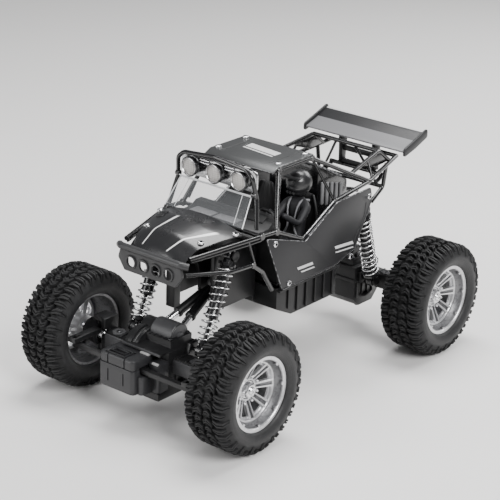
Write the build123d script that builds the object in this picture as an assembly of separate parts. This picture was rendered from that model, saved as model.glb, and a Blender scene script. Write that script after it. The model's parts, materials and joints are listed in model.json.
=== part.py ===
from build123d import *
import math
import os

# A 1:16 four-wheel-drive rock crawler. +X is the nose, +Y the driver's left, +Z up, z = 0 the ground.
# Millimetres. The origin is on the ground, midway between the four wheels.

# Driving dimensions
WHEELBASE = 202.6
TRACK = 142.0
TYRE_RADIUS = 40.0
TYRE_WIDTH = 34.0
RIM_RADIUS = 24.6
RIM_LIP = 13.7              # rim's outer lip from the wheel's middle plane
SPOKES = 8
RUNNING = 0.05              # radial clearance of a turning shaft

AXLE_X = WHEELBASE / 2
WHEEL_Y = TRACK / 2

# Suspension: each axle swings on a ball at the middle of the chassis and hangs on two shocks
BALL = (46.0, 0.0, 72.0)
BALL_RADIUS = 4.0
SHOCK_Y = 28.0
FRONT_SHOCK = {"top": (66.0, 106.0), "foot": (92.0, 48.0)}
REAR_SHOCK = {"top": (74.0, 100.0), "foot": (91.0, 42.0)}
PIN_RADIUS = 1.25
EYE_BORE = 2.75             # the open pivot: an eye that floats on its pin
EYE_RADIUS = 4.2
EYE_HALF = 2.5

# Steering
KINGPIN_Y = 48.5
STEER_ARM = 24.0            # kingpin to tie rod
ARM_SLOT = 2.4              # how far the tie-rod pin runs out along the arm
RACK_TEETH = 11
STEER_GEAR = (117.7, -2.0)

# Gears
MODULE = 0.8
AXLE_TEETH = 30
MOTOR_TEETH = 10
STEER_TEETH = 12
PRESSURE_ANGLE = math.radians(20)
ADDENDUM = 0.7 * MODULE
DEDENDUM = 1.25 * MODULE
BACKLASH = 0.22
GEAR_Y = (-13.5, -10.0)
MOTOR_DX = -6.5
MOTOR_DISTANCE = MODULE * (AXLE_TEETH + MOTOR_TEETH) / 2
MOTOR_DZ = math.sqrt(MOTOR_DISTANCE ** 2 - MOTOR_DX ** 2)

# Body
TUB_HALF = 38.0
TUB_WALL = 2.0
TUB_FLOOR_Z = 52.0
TUB_TOP_Z = 74.0
PANEL_Y = 41.4
PANEL_THICK = 1.2
TUBE = 1.5                  # cage tube radius
CAGE_Y = PANEL_Y - TUBE - 0.1
ROOF_Z = 152.5
ROOF_HALF = 28.0
SPLIT_Z = TYRE_RADIUS       # the axle cases part at the wheel centres


# ---------------------------------------------------------------- small builders
def block(x0, x1, y0, y1, z0, z1):
    return Pos((x0 + x1) / 2, (y0 + y1) / 2, (z0 + z1) / 2) * Box(x1 - x0, y1 - y0, z1 - z0)


def rod(start, end, radius):
    run = Vector(*end) - Vector(*start)
    plane = Plane(origin=start, z_dir=run)
    return plane * Cylinder(radius, run.length, align=(Align.CENTER, Align.CENTER, Align.MIN))


def cross_rod(x, z, y0, y1, radius):
    return rod((x, y0, z), (x, y1, z), radius)


def ring(x, z, y0, y1, outer, inner):
    return cross_rod(x, z, y0, y1, outer) - cross_rod(x, z, y0 - 1, y1 + 1, inner)


def ball(centre, radius):
    return Pos(*centre) * Sphere(radius)


def side_plate(outline, y0, y1):
    plane = Plane(origin=(0, y0, 0), x_dir=(1, 0, 0), z_dir=(0, -1, 0))
    return extrude(plane * Polygon(*outline, align=None), amount=y1 - y0, dir=(0, 1, 0))


def nose_plate(outline, x0, x1):
    plane = Plane(origin=(x0, 0, 0), x_dir=(0, 1, 0), z_dir=(1, 0, 0))
    return extrude(plane * Polygon(*outline, align=None), amount=x1 - x0, dir=(1, 0, 0))


def top_plate(outline, z0, z1):
    return extrude(Pos(0, 0, z0) * Polygon(*outline, align=None), amount=z1 - z0, dir=(0, 0, 1))


def right(part):
    return mirror(part, about=Plane.XZ)


def rear(part):
    return mirror(part, about=Plane.YZ)


def both(part):
    return part + right(part)


def tubes(paths, radius):
    runs = [rod(a, b, radius) for path in paths for a, b in zip(path, path[1:])]
    bends = [ball(point, radius) for path in paths for point in path]
    return Part() + runs + bends


# ---------------------------------------------------------------- gears
def involute(angle):
    return math.tan(angle) - angle


def gear_outline(teeth, turn):
    """Tooth flanks are involutes; turn is the direction of one tooth's middle, in radians."""
    pitch = MODULE * teeth / 2
    base = pitch * math.cos(PRESSURE_ANGLE)
    root, tip = pitch - DEDENDUM, pitch + ADDENDUM
    low = max(base, root)
    steps = 4
    half_pitch = math.pi / (2 * teeth) + involute(PRESSURE_ANGLE) - BACKLASH / (2 * pitch)
    flank = []
    for i in range(steps + 1):
        radius = low + (tip - low) * i / steps
        flank.append((radius, half_pitch - involute(math.acos(base / radius))))
    points = []
    for tooth in range(teeth):
        middle = turn + 2 * math.pi * tooth / teeth
        edge = [(root, -flank[0][1])] + [(r, -a) for r, a in flank]
        edge += [(r, a) for r, a in reversed(flank)] + [(root, flank[0][1])]
        points += [(r * math.cos(middle + a), r * math.sin(middle + a)) for r, a in edge]
    return points


def spur_gear(teeth, turn, x, z, y0, y1):
    outline = [(x + px, z + pz) for px, pz in gear_outline(teeth, turn)]
    return side_plate(outline, y0, y1)


# ---------------------------------------------------------------- wheels, drawn for the left side
def tyre(x):
    half = TYRE_WIDTH / 2
    bead, wall, shoulder = half - 2, 30.0, 34.5
    outline = [(RIM_RADIUS, -bead), (wall, -half), (shoulder, -half), (TYRE_RADIUS, 4 - half),
               (TYRE_RADIUS, half - 4), (shoulder, half), (wall, half), (RIM_RADIUS, bead)]
    return Pos(x, WHEEL_Y, TYRE_RADIUS) * revolve(Polygon(*outline, align=None), axis=Axis.Y)


HUB_RADIUS = 7.5
HUB_FACE = 2.2
SHAFT_RADIUS = 3.0
BARREL_INNER = 22.2


def rim(x):
    barrel = ring(0, 0, -13.0, RIM_LIP, RIM_RADIUS, BARREL_INNER)
    disc = cross_rod(0, 0, 1.5, 5.5, BARREL_INNER + 0.4)
    for i in range(SPOKES):
        middle = 2 * math.pi * (i + 0.5) / SPOKES
        corners = [(9.5, -0.24), (20.5, -0.29), (20.5, 0.29), (9.5, 0.24)]
        window = [(r * math.cos(middle + a), r * math.sin(middle + a)) for r, a in corners]
        disc -= side_plate(window, 1, 6)
    hub = cross_rod(0, 0, -6.0, HUB_FACE, HUB_RADIUS)
    whole = barrel + (disc - cross_rod(0, 0, HUB_FACE, 6, HUB_RADIUS)) + hub
    whole -= cross_rod(0, 0, -7, 7, SHAFT_RADIUS)
    return Pos(x, WHEEL_Y, TYRE_RADIUS) * whole


def wheel_nut(x):
    face = WHEEL_Y + HUB_FACE
    return ring(x, TYRE_RADIUS, face, face + 3.2, 4.2, SHAFT_RADIUS)


CUP_RADIUS = 4.8
JOINT_BALL = 3.4


def stub_axle(x):
    """Outer half of the steered wheel's drive joint: a cup round the shaft's ball, and the wheel's axle."""
    cup = cross_rod(x, TYRE_RADIUS, KINGPIN_Y, KINGPIN_Y + 5.5, CUP_RADIUS)
    cup -= ball((x, KINGPIN_Y, TYRE_RADIUS), JOINT_BALL + 2 * RUNNING)
    axle = cross_rod(x, TYRE_RADIUS, KINGPIN_Y + 4.5, WHEEL_Y + HUB_FACE + 4, SHAFT_RADIUS)
    return Compound(children=[cup + axle, wheel_nut(x)])


def gear_turn(x_sign):
    return math.atan2(MOTOR_DZ, x_sign * MOTOR_DX)


def front_drive_shaft():
    shaft = cross_rod(AXLE_X, TYRE_RADIUS, -KINGPIN_Y, KINGPIN_Y, 2.0)
    shaft += both(ball((AXLE_X, KINGPIN_Y, TYRE_RADIUS), JOINT_BALL))
    return shaft + spur_gear(AXLE_TEETH, gear_turn(1), AXLE_X, TYRE_RADIUS, *GEAR_Y)


def rear_drive_shaft():
    reach = WHEEL_Y + HUB_FACE + 4
    shaft = cross_rod(-AXLE_X, TYRE_RADIUS, -reach, reach, SHAFT_RADIUS)
    shaft += spur_gear(AXLE_TEETH, gear_turn(-1), -AXLE_X, TYRE_RADIUS, *GEAR_Y)
    nut = wheel_nut(-AXLE_X)
    return Compound(children=[shaft, nut, right(nut)])


def motor_pinion(x_sign):
    x, z = x_sign * (AXLE_X + MOTOR_DX), TYRE_RADIUS + MOTOR_DZ
    turn = gear_turn(x_sign) + math.pi + math.pi / MOTOR_TEETH
    bored = spur_gear(MOTOR_TEETH, turn, x, z, *GEAR_Y)
    return bored - cross_rod(x, z, GEAR_Y[0] - 1, GEAR_Y[1] + 1, 1.0 + RUNNING)


# ---------------------------------------------------------------- axle cases, drawn for the front
MOTOR_RADIUS = 6.0
MOTOR_Y = (-8.5, 10.5)
STEER_MOTOR_RADIUS = 5.5


def drive_motor(x_sign):
    x, z = x_sign * (AXLE_X + MOTOR_DX), TYRE_RADIUS + MOTOR_DZ
    can = cross_rod(x, z, *MOTOR_Y, MOTOR_RADIUS)
    return can + cross_rod(x, z, GEAR_Y[0] - 0.8, MOTOR_Y[0], 1.0)


def steering_motor():
    x, y = STEER_GEAR
    return rod((x, y, 27), (x, y, 36.8), STEER_MOTOR_RADIUS)


def suspension_arm():
    eye = ring(BALL[0], BALL[2], -3, 3, 6.5, BALL_RADIUS - 0.9)
    eye -= ball(BALL, BALL_RADIUS + 2 * RUNNING)
    bar = rod((88, 7, 56), (51.5, 1.2, 71.2), 2.3)
    eye_room = ball(BALL, BALL_RADIUS + 0.6)
    return eye + (both(bar) - eye_room)


def shock_foot_lug(foot):
    x, z = foot
    wall = AXLE_X - 3.8
    outline = [(x - 3.6, z - 3), (wall - 2, SPLIT_Z + 0.5), (wall, SPLIT_Z + 0.5), (wall, SPLIT_Z + 5),
               (x + 3, z + 4), (x - 3.6, z + 4)]
    web = side_plate(outline, 18.6, SHOCK_Y - SEAT_RADIUS - 0.4)
    pin = cross_rod(x, z, 20, SHOCK_Y + EYE_HALF + 0.7, PIN_RADIUS)
    head = cross_rod(x, z, SHOCK_Y + EYE_HALF + 0.7, SHOCK_Y + EYE_HALF + 2, 3.4)
    return both(web + pin + head)


def axle_body():
    """Gearbox, beams, motor bump and arms common to both axles, as one piece before it is parted."""
    motor_x, motor_z = AXLE_X + MOTOR_DX, TYRE_RADIUS + MOTOR_DZ
    body = block(84, 112, -18.4, 18.4, 20, 50) + block(86, 106, -14.5, 14.5, 50, 55)
    body = chamfer(body.edges().filter_by(Axis.Y).sort_by(Axis.Z)[:2], 6)
    body += cross_rod(AXLE_X, TYRE_RADIUS, -17, -6.5, 16.3)
    body += cross_rod(motor_x, motor_z, -6, 12, 8) + cross_rod(motor_x, motor_z, -15.5, -6, 6.4)
    body += both(block(AXLE_X - 4.6, AXLE_X + 6, 18, 42, 35, 45.5))
    return body + suspension_arm()


def axle_cavity():
    motor_x, motor_z = AXLE_X + MOTOR_DX, TYRE_RADIUS + MOTOR_DZ
    hollow = cross_rod(AXLE_X, TYRE_RADIUS, -15, -9, 13.9)
    hollow += cross_rod(motor_x, motor_z, MOTOR_Y[0] - 0.5, MOTOR_Y[1], MOTOR_RADIUS)
    return hollow + cross_rod(motor_x, motor_z, -14.5, MOTOR_Y[0], 5.1)


def steering_knuckle_fork():
    """The C at each end of the front beam that holds the kingpins."""
    web = block(AXLE_X - 6, AXLE_X + 6, 41, 44.5, 26, 54)
    ears = block(AXLE_X - 5, AXLE_X + 5, 41, 52, 51, 54) + block(AXLE_X - 5, AXLE_X + 5, 41, 52, 26, 29)
    pins = rod((AXLE_X, KINGPIN_Y, 47.2), (AXLE_X, KINGPIN_Y, 51), PIN_RADIUS)
    pins += rod((AXLE_X, KINGPIN_Y, 29), (AXLE_X, KINGPIN_Y, 32.8), PIN_RADIUS)
    return both(web + ears + pins)


def steering_arm_room():
    """Notch in each fork that the steering arm swings into at full lock."""
    return both(block(AXLE_X + 1.8, AXLE_X + 7, 40, 45.5, 42.2, 46.8))


def front_axle_whole():
    body = axle_body() + steering_knuckle_fork() + block(100, 121.4, -18.4, 18.4, 20, 24.8)
    body -= axle_cavity()
    body -= cross_rod(AXLE_X, TYRE_RADIUS, -46, 46, 3.2) + steering_arm_room()
    x, y = STEER_GEAR
    return body - rod((x, y, 25), (x, y, 45), 6.4)


def rear_axle_whole():
    """Drawn with its nose to +X like the front one, then turned to face the tail."""
    body = axle_body() + both(cross_rod(AXLE_X, TYRE_RADIUS, 41, 54, 7.5))
    body -= axle_cavity()
    body -= cross_rod(AXLE_X, TYRE_RADIUS, -48, 48, SHAFT_RADIUS + 0.5)
    body -= cross_rod(AXLE_X, TYRE_RADIUS, -55, 55, SHAFT_RADIUS + RUNNING)
    return rear(body)


def lower_half(whole):
    return whole & block(-200, 200, -100, 100, 0, SPLIT_Z)


def upper_half(whole):
    return whole & block(-200, 200, -100, 100, SPLIT_Z, 200)


def pivot_ball(x_sign):
    centre = (x_sign * BALL[0], 0, BALL[2])
    bead = ball(centre, BALL_RADIUS) & block(-60, 60, -3.2, 3.2, 50, 90)
    return bead - cross_rod(centre[0], centre[2], -5, 5, PIN_RADIUS + 1.0)


# ---------------------------------------------------------------- steering
def knuckle():
    """Left steering knuckle: bearing for the stub axle, kingpin bosses and the steering arm."""
    body = cross_rod(AXLE_X, TYRE_RADIUS, KINGPIN_Y + 1, 60, 8)
    for z0, z1 in ((45.5, 50.7), (29.3, 34.5)):
        body += rod((AXLE_X, KINGPIN_Y, z0), (AXLE_X, KINGPIN_Y, z1), 3.6)
    reach = AXLE_X + STEER_ARM
    body += block(AXLE_X + 5, reach + ARM_SLOT + 3, KINGPIN_Y - 3, KINGPIN_Y + 3, 43, 46)
    body -= block(reach - 0.1, reach + ARM_SLOT, KINGPIN_Y - 1.7, KINGPIN_Y + 1.7, 42, 47)
    for x in (reach - 0.1, reach + ARM_SLOT):
        body -= rod((x, KINGPIN_Y, 42), (x, KINGPIN_Y, 47), 1.7)
    body -= cross_rod(AXLE_X, TYRE_RADIUS, KINGPIN_Y - 2, KINGPIN_Y + 5.8, CUP_RADIUS + 0.3)
    body -= ball((AXLE_X, KINGPIN_Y, TYRE_RADIUS), CUP_RADIUS + 0.6)
    body -= cross_rod(AXLE_X, TYRE_RADIUS, KINGPIN_Y, 61, SHAFT_RADIUS + RUNNING)
    return body - rod((AXLE_X, KINGPIN_Y, 28), (AXLE_X, KINGPIN_Y, 52), PIN_RADIUS + RUNNING)


def tie_rod():
    """Bar across the front of the axle with a rack on its back face and a pin at each end."""
    gear_x, gear_y = STEER_GEAR
    pitch_x = gear_x + MODULE * STEER_TEETH / 2
    back = pitch_x + DEDENDUM
    bar = block(back, AXLE_X + STEER_ARM + 2, -KINGPIN_Y - 2, KINGPIN_Y + 2, 38.5, 41.5)
    tan = math.tan(PRESSURE_ANGLE)
    half = math.pi * MODULE / 4 - BACKLASH / 2
    for i in range(RACK_TEETH):
        y = gear_y + math.pi * MODULE * (i - (RACK_TEETH - 1) / 2)
        tip, root = half - ADDENDUM * tan, half + DEDENDUM * tan
        tooth = [(pitch_x - ADDENDUM, y - tip), (pitch_x - ADDENDUM, y + tip),
                 (back + 0.2, y + root), (back + 0.2, y - root)]
        bar += top_plate(tooth, 38.5, 41.5)
    pin_x = AXLE_X + STEER_ARM
    return bar + both(rod((pin_x, KINGPIN_Y, 41), (pin_x, KINGPIN_Y, 47), PIN_RADIUS))


def steering_gear():
    x, y = STEER_GEAR
    turn = math.pi / STEER_TEETH
    outline = [(x + px, y + py) for px, py in gear_outline(STEER_TEETH, turn)]
    return top_plate(outline, 38.3, 41.7) + rod((x, y, 41), (x, y, 44), 1.5)


def steering_case():
    """Box ahead of the gearbox: steering motor and gear inside, tunnel for the tie rod through it."""
    x, y = STEER_GEAR
    case = block(112.2, 134.5, -21, 9, 25, 48)
    case = fillet(case.edges().filter_by(Axis.Z).sort_by(Axis.X)[-2:], 3)
    case += block(123, 133, -17, 1, 48, 49.2)
    case -= block(120.9, AXLE_X + STEER_ARM + 2.6, -40, 40, 37.7, 42.3)
    case -= rod((x, y, 37), (x, y, 42.3), 6.2) + rod((x, y, 26), (x, y, 38), STEER_MOTOR_RADIUS)
    case -= rod((x, y, 42), (x, y, 44.4), 1.5 + RUNNING)
    return case - cross_rod(AXLE_X, TYRE_RADIUS, -22, -6.4, 16.4) - block(112, 113.5, -22, 10, 24, 50)


# ---------------------------------------------------------------- shocks, drawn for the left side
def shock_axis(shock, x_sign):
    top = Vector(x_sign * shock["top"][0], SHOCK_Y, shock["top"][1])
    foot = Vector(x_sign * shock["foot"][0], SHOCK_Y, shock["foot"][1])
    return top, (foot - top).normalized(), (foot - top).length


SHOCK_CAN = 3.5
SHOCK_ROD = 1.4
SPRING_RADIUS = 5.3
SPRING_WIRE = 0.75
SEAT_RADIUS = 6.0
SEAT_INSET = 7.0
SPRING_TURNS = 9


def shock_body(shock, x_sign):
    top, down, length = shock_axis(shock, x_sign)
    can_end = length * 0.66
    body = cross_rod(top.X, top.Z, SHOCK_Y - EYE_HALF, SHOCK_Y + EYE_HALF, EYE_RADIUS)
    body += rod((top + down * 2), (top + down * can_end), SHOCK_CAN)
    body += rod((top + down * (SEAT_INSET - 2)), (top + down * SEAT_INSET), SEAT_RADIUS)
    body -= rod((top + down * (length * 0.3)), (top + down * (can_end + 1)),
                SHOCK_ROD + RUNNING)
    return body - cross_rod(top.X, top.Z, 20, 36, PIN_RADIUS + RUNNING)


def shock_rod(shock, x_sign):
    top, down, length = shock_axis(shock, x_sign)
    foot = top + down * length
    body = cross_rod(foot.X, foot.Z, SHOCK_Y - EYE_HALF, SHOCK_Y + EYE_HALF, EYE_RADIUS)
    body += rod((top + down * (length * 0.42)), (foot - down * 3.4), SHOCK_ROD)
    body += rod((foot - down * SEAT_INSET), (foot - down * (SEAT_INSET - 2)), SEAT_RADIUS)
    return body - cross_rod(foot.X, foot.Z, 20, 36, EYE_BORE)


def shock_spring(shock, x_sign):
    """The coil, as plain rings on one stem-free sleeve of wire."""
    top, down, length = shock_axis(shock, x_sign)
    free = length - 2 * SEAT_INSET - 2 * SPRING_WIRE - 0.1
    plane = Plane(origin=(top + down * (SEAT_INSET + SPRING_WIRE + 0.05)), x_dir=(0, 1, 0), z_dir=down)
    coil = Helix(pitch=free / SPRING_TURNS, height=free, radius=SPRING_RADIUS)
    wire = Plane(origin=coil @ 0, z_dir=coil % 0) * Circle(SPRING_WIRE)
    return plane * sweep(wire, path=coil, is_frenet=True)


# ---------------------------------------------------------------- chassis
def shock_tower(x_near, x_far, top_z, shock):
    """Two outer and two inner plates under a deck, drawn toward +X: ball bracket and upper shock pins."""
    outer = block(x_near, x_far, 17, 20, 66, top_z)
    outline = [(x_near, 62), (BALL[0] + 4, 62), (BALL[0] + 7, 68), (BALL[0] + 7, 78), (x_near + 34, top_z),
               (x_near, top_z)]
    ear = side_plate(outline, 7, 10)
    x, z = shock["top"]
    boss = cross_rod(x, z, 19, SHOCK_Y - SEAT_RADIUS - 0.4, 3.4)
    head_y = SHOCK_Y + EYE_HALF + 1.3
    pin = cross_rod(x, z, 19, head_y, PIN_RADIUS)
    head = cross_rod(x, z, head_y, head_y + 1.3, 3.4)
    tower = both(outer + ear + boss + pin + head) + block(x_near, x_far, -20, 20, top_z - 3, top_z)
    tower += block(x_near, x_near + 3, -20, 20, 62, top_z)
    return tower + cross_rod(BALL[0], BALL[2], -8, 8, PIN_RADIUS)


def chassis_tub():
    outline = [(-34, TUB_FLOOR_Z), (14, TUB_FLOOR_Z), (30, 60), (30, TUB_TOP_Z), (-34, TUB_TOP_Z)]
    tub = side_plate(outline, -TUB_HALF, TUB_HALF)
    inner = [(-34 + TUB_WALL, TUB_FLOOR_Z + TUB_WALL), (13.5, TUB_FLOOR_Z + TUB_WALL), (30 - TUB_WALL, 61.3),
             (30 - TUB_WALL, TUB_TOP_Z + 1), (-34 + TUB_WALL, TUB_TOP_Z + 1)]
    tub -= side_plate(inner, -TUB_HALF + TUB_WALL, TUB_HALF - TUB_WALL)
    tub += both(block(-32.5, 2, 13.4, 14.8, TUB_FLOOR_Z + 1, 70))
    tub -= block(-31, 1, -13.2, 13.2, TUB_FLOOR_Z - 1, TUB_FLOOR_Z + TUB_WALL + 0.01)
    return tub - block(5, 12, -1.9, 1.9, TUB_FLOOR_Z - 1, TUB_FLOOR_Z + TUB_WALL + 0.01)


def front_tower():
    """The tower with the beam that carries the bumper and the post that braces it."""
    tower = shock_tower(30, 72, 110, FRONT_SHOCK)
    return tower + block(70, 108.2, -10, 10, 103, 107.6) + block(85, 91, -3.5, 3.5, 70, 104)


def rear_tower():
    return rear(shock_tower(34, 80, 104, REAR_SHOCK))


def battery_pack():
    cells = [cross_rod(x, 62, -12.6, 12.6, 6.9) for x in (-22.6, -8.6)]
    return Compound(children=cells)


def battery_cover():
    return block(-30.8, 0.8, -13, 13, TUB_FLOOR_Z, TUB_FLOOR_Z + 1.8) + block(-17, -13, -5, 5, 51.2, 52)


def circuit_board():
    board = block(-28, 22, -15.4, 15.4, 70.1, 71.6)
    return board + block(6, 16, -6, 6, 71.6, 73.4) + block(-20, -14, 4, 10, 71.6, 73.6)


def switch_slider():
    return block(5.6, 8.6, -1.6, 1.6, 50.9, 54.6) + block(4.4, 9.8, -3, 3, 54.2, 55.4)


def cockpit_tray():
    """Moulded floor, firewall, dash with steering wheel, and two seats."""
    tray = block(-30, 26, -35, 35, 74.2, 76) + block(22, 25.8, -34, 34, 76, 117)
    tray += block(22, 50, -33, 33, 111, 114)
    tray += side_plate([(22, 114), (44, 114), (30, 119), (22, 119)], -33, 33)
    seat = side_plate([(-29.8, 76), (-5, 76), (-4, 83), (-25, 83), (-26.2, 121), (-29.8, 121)], 7, 28)
    tray += both(seat)
    column = rod((24, 17.5, 112), (16, 17.5, 116), 1.2)
    wheel_plane = Plane(origin=(16, 17.5, 116), z_dir=(-8, 0, 4))
    wheel_rim = wheel_plane * (Torus(6.5, 1.1))
    spokes = Part() + [wheel_plane * Rot(0, 0, a) * Box(12.6, 1.6, 1.4) for a in (0, 90)]
    return tray + column + wheel_rim + spokes


def driver_figure():
    y = 17.5
    body = rod((-15, y, 92), (-16, y, 116), 8.5) + ball((-16, y, 116), 8.5) + ball((-15, y, 92), 8.5)
    body += rod((-16, y, 118), (-16, y, 127), 3.5) + ball((-16.5, y, 131), 9.2)
    for side in (-1, 1):
        shoulder, elbow = (-14, y + side * 9, 115), (-3, y + side * 9.5, 106)
        hand = (9.5, y + side * 5, 117)
        body += tubes([[shoulder, elbow, hand]], 2.8)
        hip, knee, foot = (-13, y + side * 4.5, 89), (7, y + side * 4.5, 94), (16, y + side * 4.5, 81)
        body += tubes([[hip, knee, foot]], 3.6)
    return body & block(-24.8, 21.8, -10, 45, 83.2, 150)


# ---------------------------------------------------------------- cage and body panels
FRONT_BASE = (50, CAGE_Y, 117)
PILLAR_BASE = (35, CAGE_Y, 116)
ROOF_FRONT = (20, ROOF_HALF, ROOF_Z - TUBE - 0.1)
ROOF_REAR = (-14.6, ROOF_HALF, ROOF_Z - TUBE - 0.1)
WAIST = (-26, CAGE_Y, 121)
HAUNCH = (-70, 36, 123)
TAIL = (-112.7, 28, 129.3)


def cage_side():
    """Left side frame: roof rail, pillars, waist rail, rear braces and fender rails."""
    return tubes([
        [ROOF_FRONT, ROOF_REAR, HAUNCH, TAIL],
        [ROOF_FRONT, PILLAR_BASE, (7, CAGE_Y, 103.5), WAIST, HAUNCH],
        [ROOF_REAR, WAIST],
        [(103.5, 26.5, 113), FRONT_BASE, PILLAR_BASE],
        [(106, 25.5, 103), (78, 38, 100.6), (58, CAGE_Y, 100), (48, CAGE_Y, 92.6), (37.5, CAGE_Y, 77)],
        [(60, 37.5, 115.8), (56, CAGE_Y, 100)],
        [(-52, ROOF_HALF + 5, 132), (-90, ROOF_HALF, 138), (-103, 29, 128)],
        [(-75.5, 30, 135.3), (-74, 35.4, 123.5)],
        [(-98, 30, 127.3), (-98, 28, 110), (-84, 29, 103)],
    ], TUBE)


def cross_tube(x, y, z):
    return cross_rod(x, z, -y, y, TUBE)


def cage_cross_tubes():
    inner = ROOF_HALF - TUBE - 0.15
    bars = [cross_tube(20, inner, ROOF_FRONT[2]), cross_tube(-14.6, inner, ROOF_REAR[2]),
            cross_tube(50, CAGE_Y - TUBE - 0.15, 117), cross_tube(-90, inner, 138),
            cross_tube(-112, inner, 129.3), cross_tube(-98, inner, 110)]
    saddle = cross_tube(-106, 24, 115.3) + both(rod((-106, 22, 115.3), (-98, 22, 111.8), TUBE))
    return Compound(children=bars[:-1] + [bars[-1] + saddle])


def roof_panel():
    outline = [(-15.5, ROOF_Z), (20.5, ROOF_Z), (27, 149.8), (27.5, 151), (21, ROOF_Z + PANEL_THICK),
               (-15.5, ROOF_Z + PANEL_THICK)]
    return side_plate(outline, -ROOF_HALF - 0.8, ROOF_HALF + 0.8)


def side_panel():
    outline = [(48.6, 116), (7.3, 102.6), (-25.9, 121.3), (-63.4, 122.1), (-65.8, 112.8), (-48.6, 81.6),
               (-26.6, 75.3), (30, 74.6)]
    return side_plate(outline, PANEL_Y, PANEL_Y + PANEL_THICK)


def bonnet_section(x, half, edge_z, crown_z):
    plane = Plane(origin=(x, 0, 0), x_dir=(0, 1, 0), z_dir=(1, 0, 0))
    thick = 1.4
    outer = ThreePointArc((-half, edge_z), (0, crown_z), (half, edge_z))
    inner = ThreePointArc((half - thick, edge_z - 0.4), (0, crown_z - thick), (thick - half, edge_z - 0.4))
    close = [Line(outer @ 1, inner @ 0), Line(inner @ 1, outer @ 0)]
    return plane * make_face([outer, close[0], inner, close[1]])


def bonnet():
    stations = [(62, 35.5, 120, 126), (76, 30.5, 119, 125.5), (94, 24.5, 116, 122), (104, 23, 109.5, 114)]
    return loft([bonnet_section(*s) for s in stations])


BUMPER_HOLES_Y = (-15.6, -5.2, 5.2, 15.6)
BUMPER_HOLES_Z = 102
BUMPER_HOLE_RADIUS = 3.8


def front_bumper():
    outline = [(-25, 109.6), (25, 109.6), (27, 103), (21.5, 95), (-21.5, 95), (-27, 103)]
    plate = nose_plate(outline, 108.2, 110.6)
    for y in BUMPER_HOLES_Y:
        plate -= rod((107, y, BUMPER_HOLES_Z), (112, y, BUMPER_HOLES_Z), BUMPER_HOLE_RADIUS)
    bar = tubes([[(106.5, -29, 109.5), (109.4, -25, 110.4), (109.4, 25, 110.4), (106.5, 29, 109.5)]], 2.4)
    return plate + bar


def windscreen():
    top_x, top_z, foot_x, foot_z, thick = 48.5, 140.6, 60.2, 123, 0.9
    outline = [(top_x, top_z), (foot_x, foot_z), (foot_x + thick, foot_z + 0.6),
               (top_x + thick, top_z + 0.6)]
    sheet = side_plate(outline, -33.5, 33.5)
    return sheet & nose_plate([(-33, 123), (33, 123), (30, 142), (-30, 142)], 40, 70)


LAMPS_Y = (-20.7, 0, 20.7)
LAMP_Z = 149.4
LAMP_RADIUS = 6.8
LENS_RADIUS = 5.4


def lamp_bar():
    arch = [(51.5, 37, 121), (47.5, 33, 140), (50, 31, 154), (50, 26, 158), (50, 0, 160.4)]
    bar = tubes([arch, [(x, -y, z) for x, y, z in arch]], TUBE)
    bar += block(44.6, 46, -32, 32, 142.3, 157) + cross_rod(47, 143.6, -32, 32, 1.3)
    for y in LAMPS_Y:
        bar += rod((45, y, LAMP_Z), (52, y, LAMP_Z), LAMP_RADIUS)
        bar -= rod((50.2, y, LAMP_Z), (53, y, LAMP_Z), LENS_RADIUS)
    return bar


def lamp_lenses():
    return Compound(children=[rod((50.2, y, LAMP_Z), (51.8, y, LAMP_Z), LENS_RADIUS - 0.1) for y in LAMPS_Y])


def engine_cover():
    """Slatted cover behind the seats."""
    cover = side_plate([(-31.4, 104.1), (-66, 104.1), (-66, 124), (-32, 141)], -21, 21)
    slots, slot_pitch, slot_width = 5, 6, 3.2
    for i in range(slots):
        x = -36 - slot_pitch * i
        cover -= block(x - slot_width / 2, x + slot_width / 2, -17, 17, 120, 150)
    return cover


WING_HALF = 42.5


def rear_wing():
    foil = [(-99.8, 137.6), (-99.4, 138.9), (-112, 142.6), (-124.8, 147.4), (-125.2, 146.2), (-112, 141)]
    wing = side_plate(foil, -WING_HALF, WING_HALF)
    end_outline = [(-98.5, 134.5), (-98.5, 141), (-112, 145), (-126, 150), (-126, 143), (-112, 138)]
    end = side_plate(end_outline, WING_HALF, WING_HALF + 1.6)
    post = side_plate([(-109, 117), (-104, 117), (-103.5, 140), (-110.5, 142)], 12.9, 15.9)
    return wing + both(end + post) + block(-109, -104, -16, 16, 117, 119)


SCREW_HEAD_HEIGHT = 1.4
SCREW_HEAD_RADIUS = 2.1


def screw_head(x, y, z, direction):
    end = Vector(x, y, z) + Vector(*direction) * SCREW_HEAD_HEIGHT
    return rod((x, y, z), end, SCREW_HEAD_RADIUS)


def panel_screws():
    face = PANEL_Y + PANEL_THICK
    heads = []
    for x, z in ((39.5, 109.8), (24, 78.5), (-42.9, 77.9), (-60.8, 116.1)):
        heads += [screw_head(x, face, z, (0, 1, 0)), screw_head(x, -face, z, (0, -1, 0))]
    for x in (17.2, -10.8):
        heads += [screw_head(x, y, ROOF_Z + PANEL_THICK, (0, 0, 1)) for y in (-25.1, 25.1)]
    return Compound(children=heads)


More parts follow.
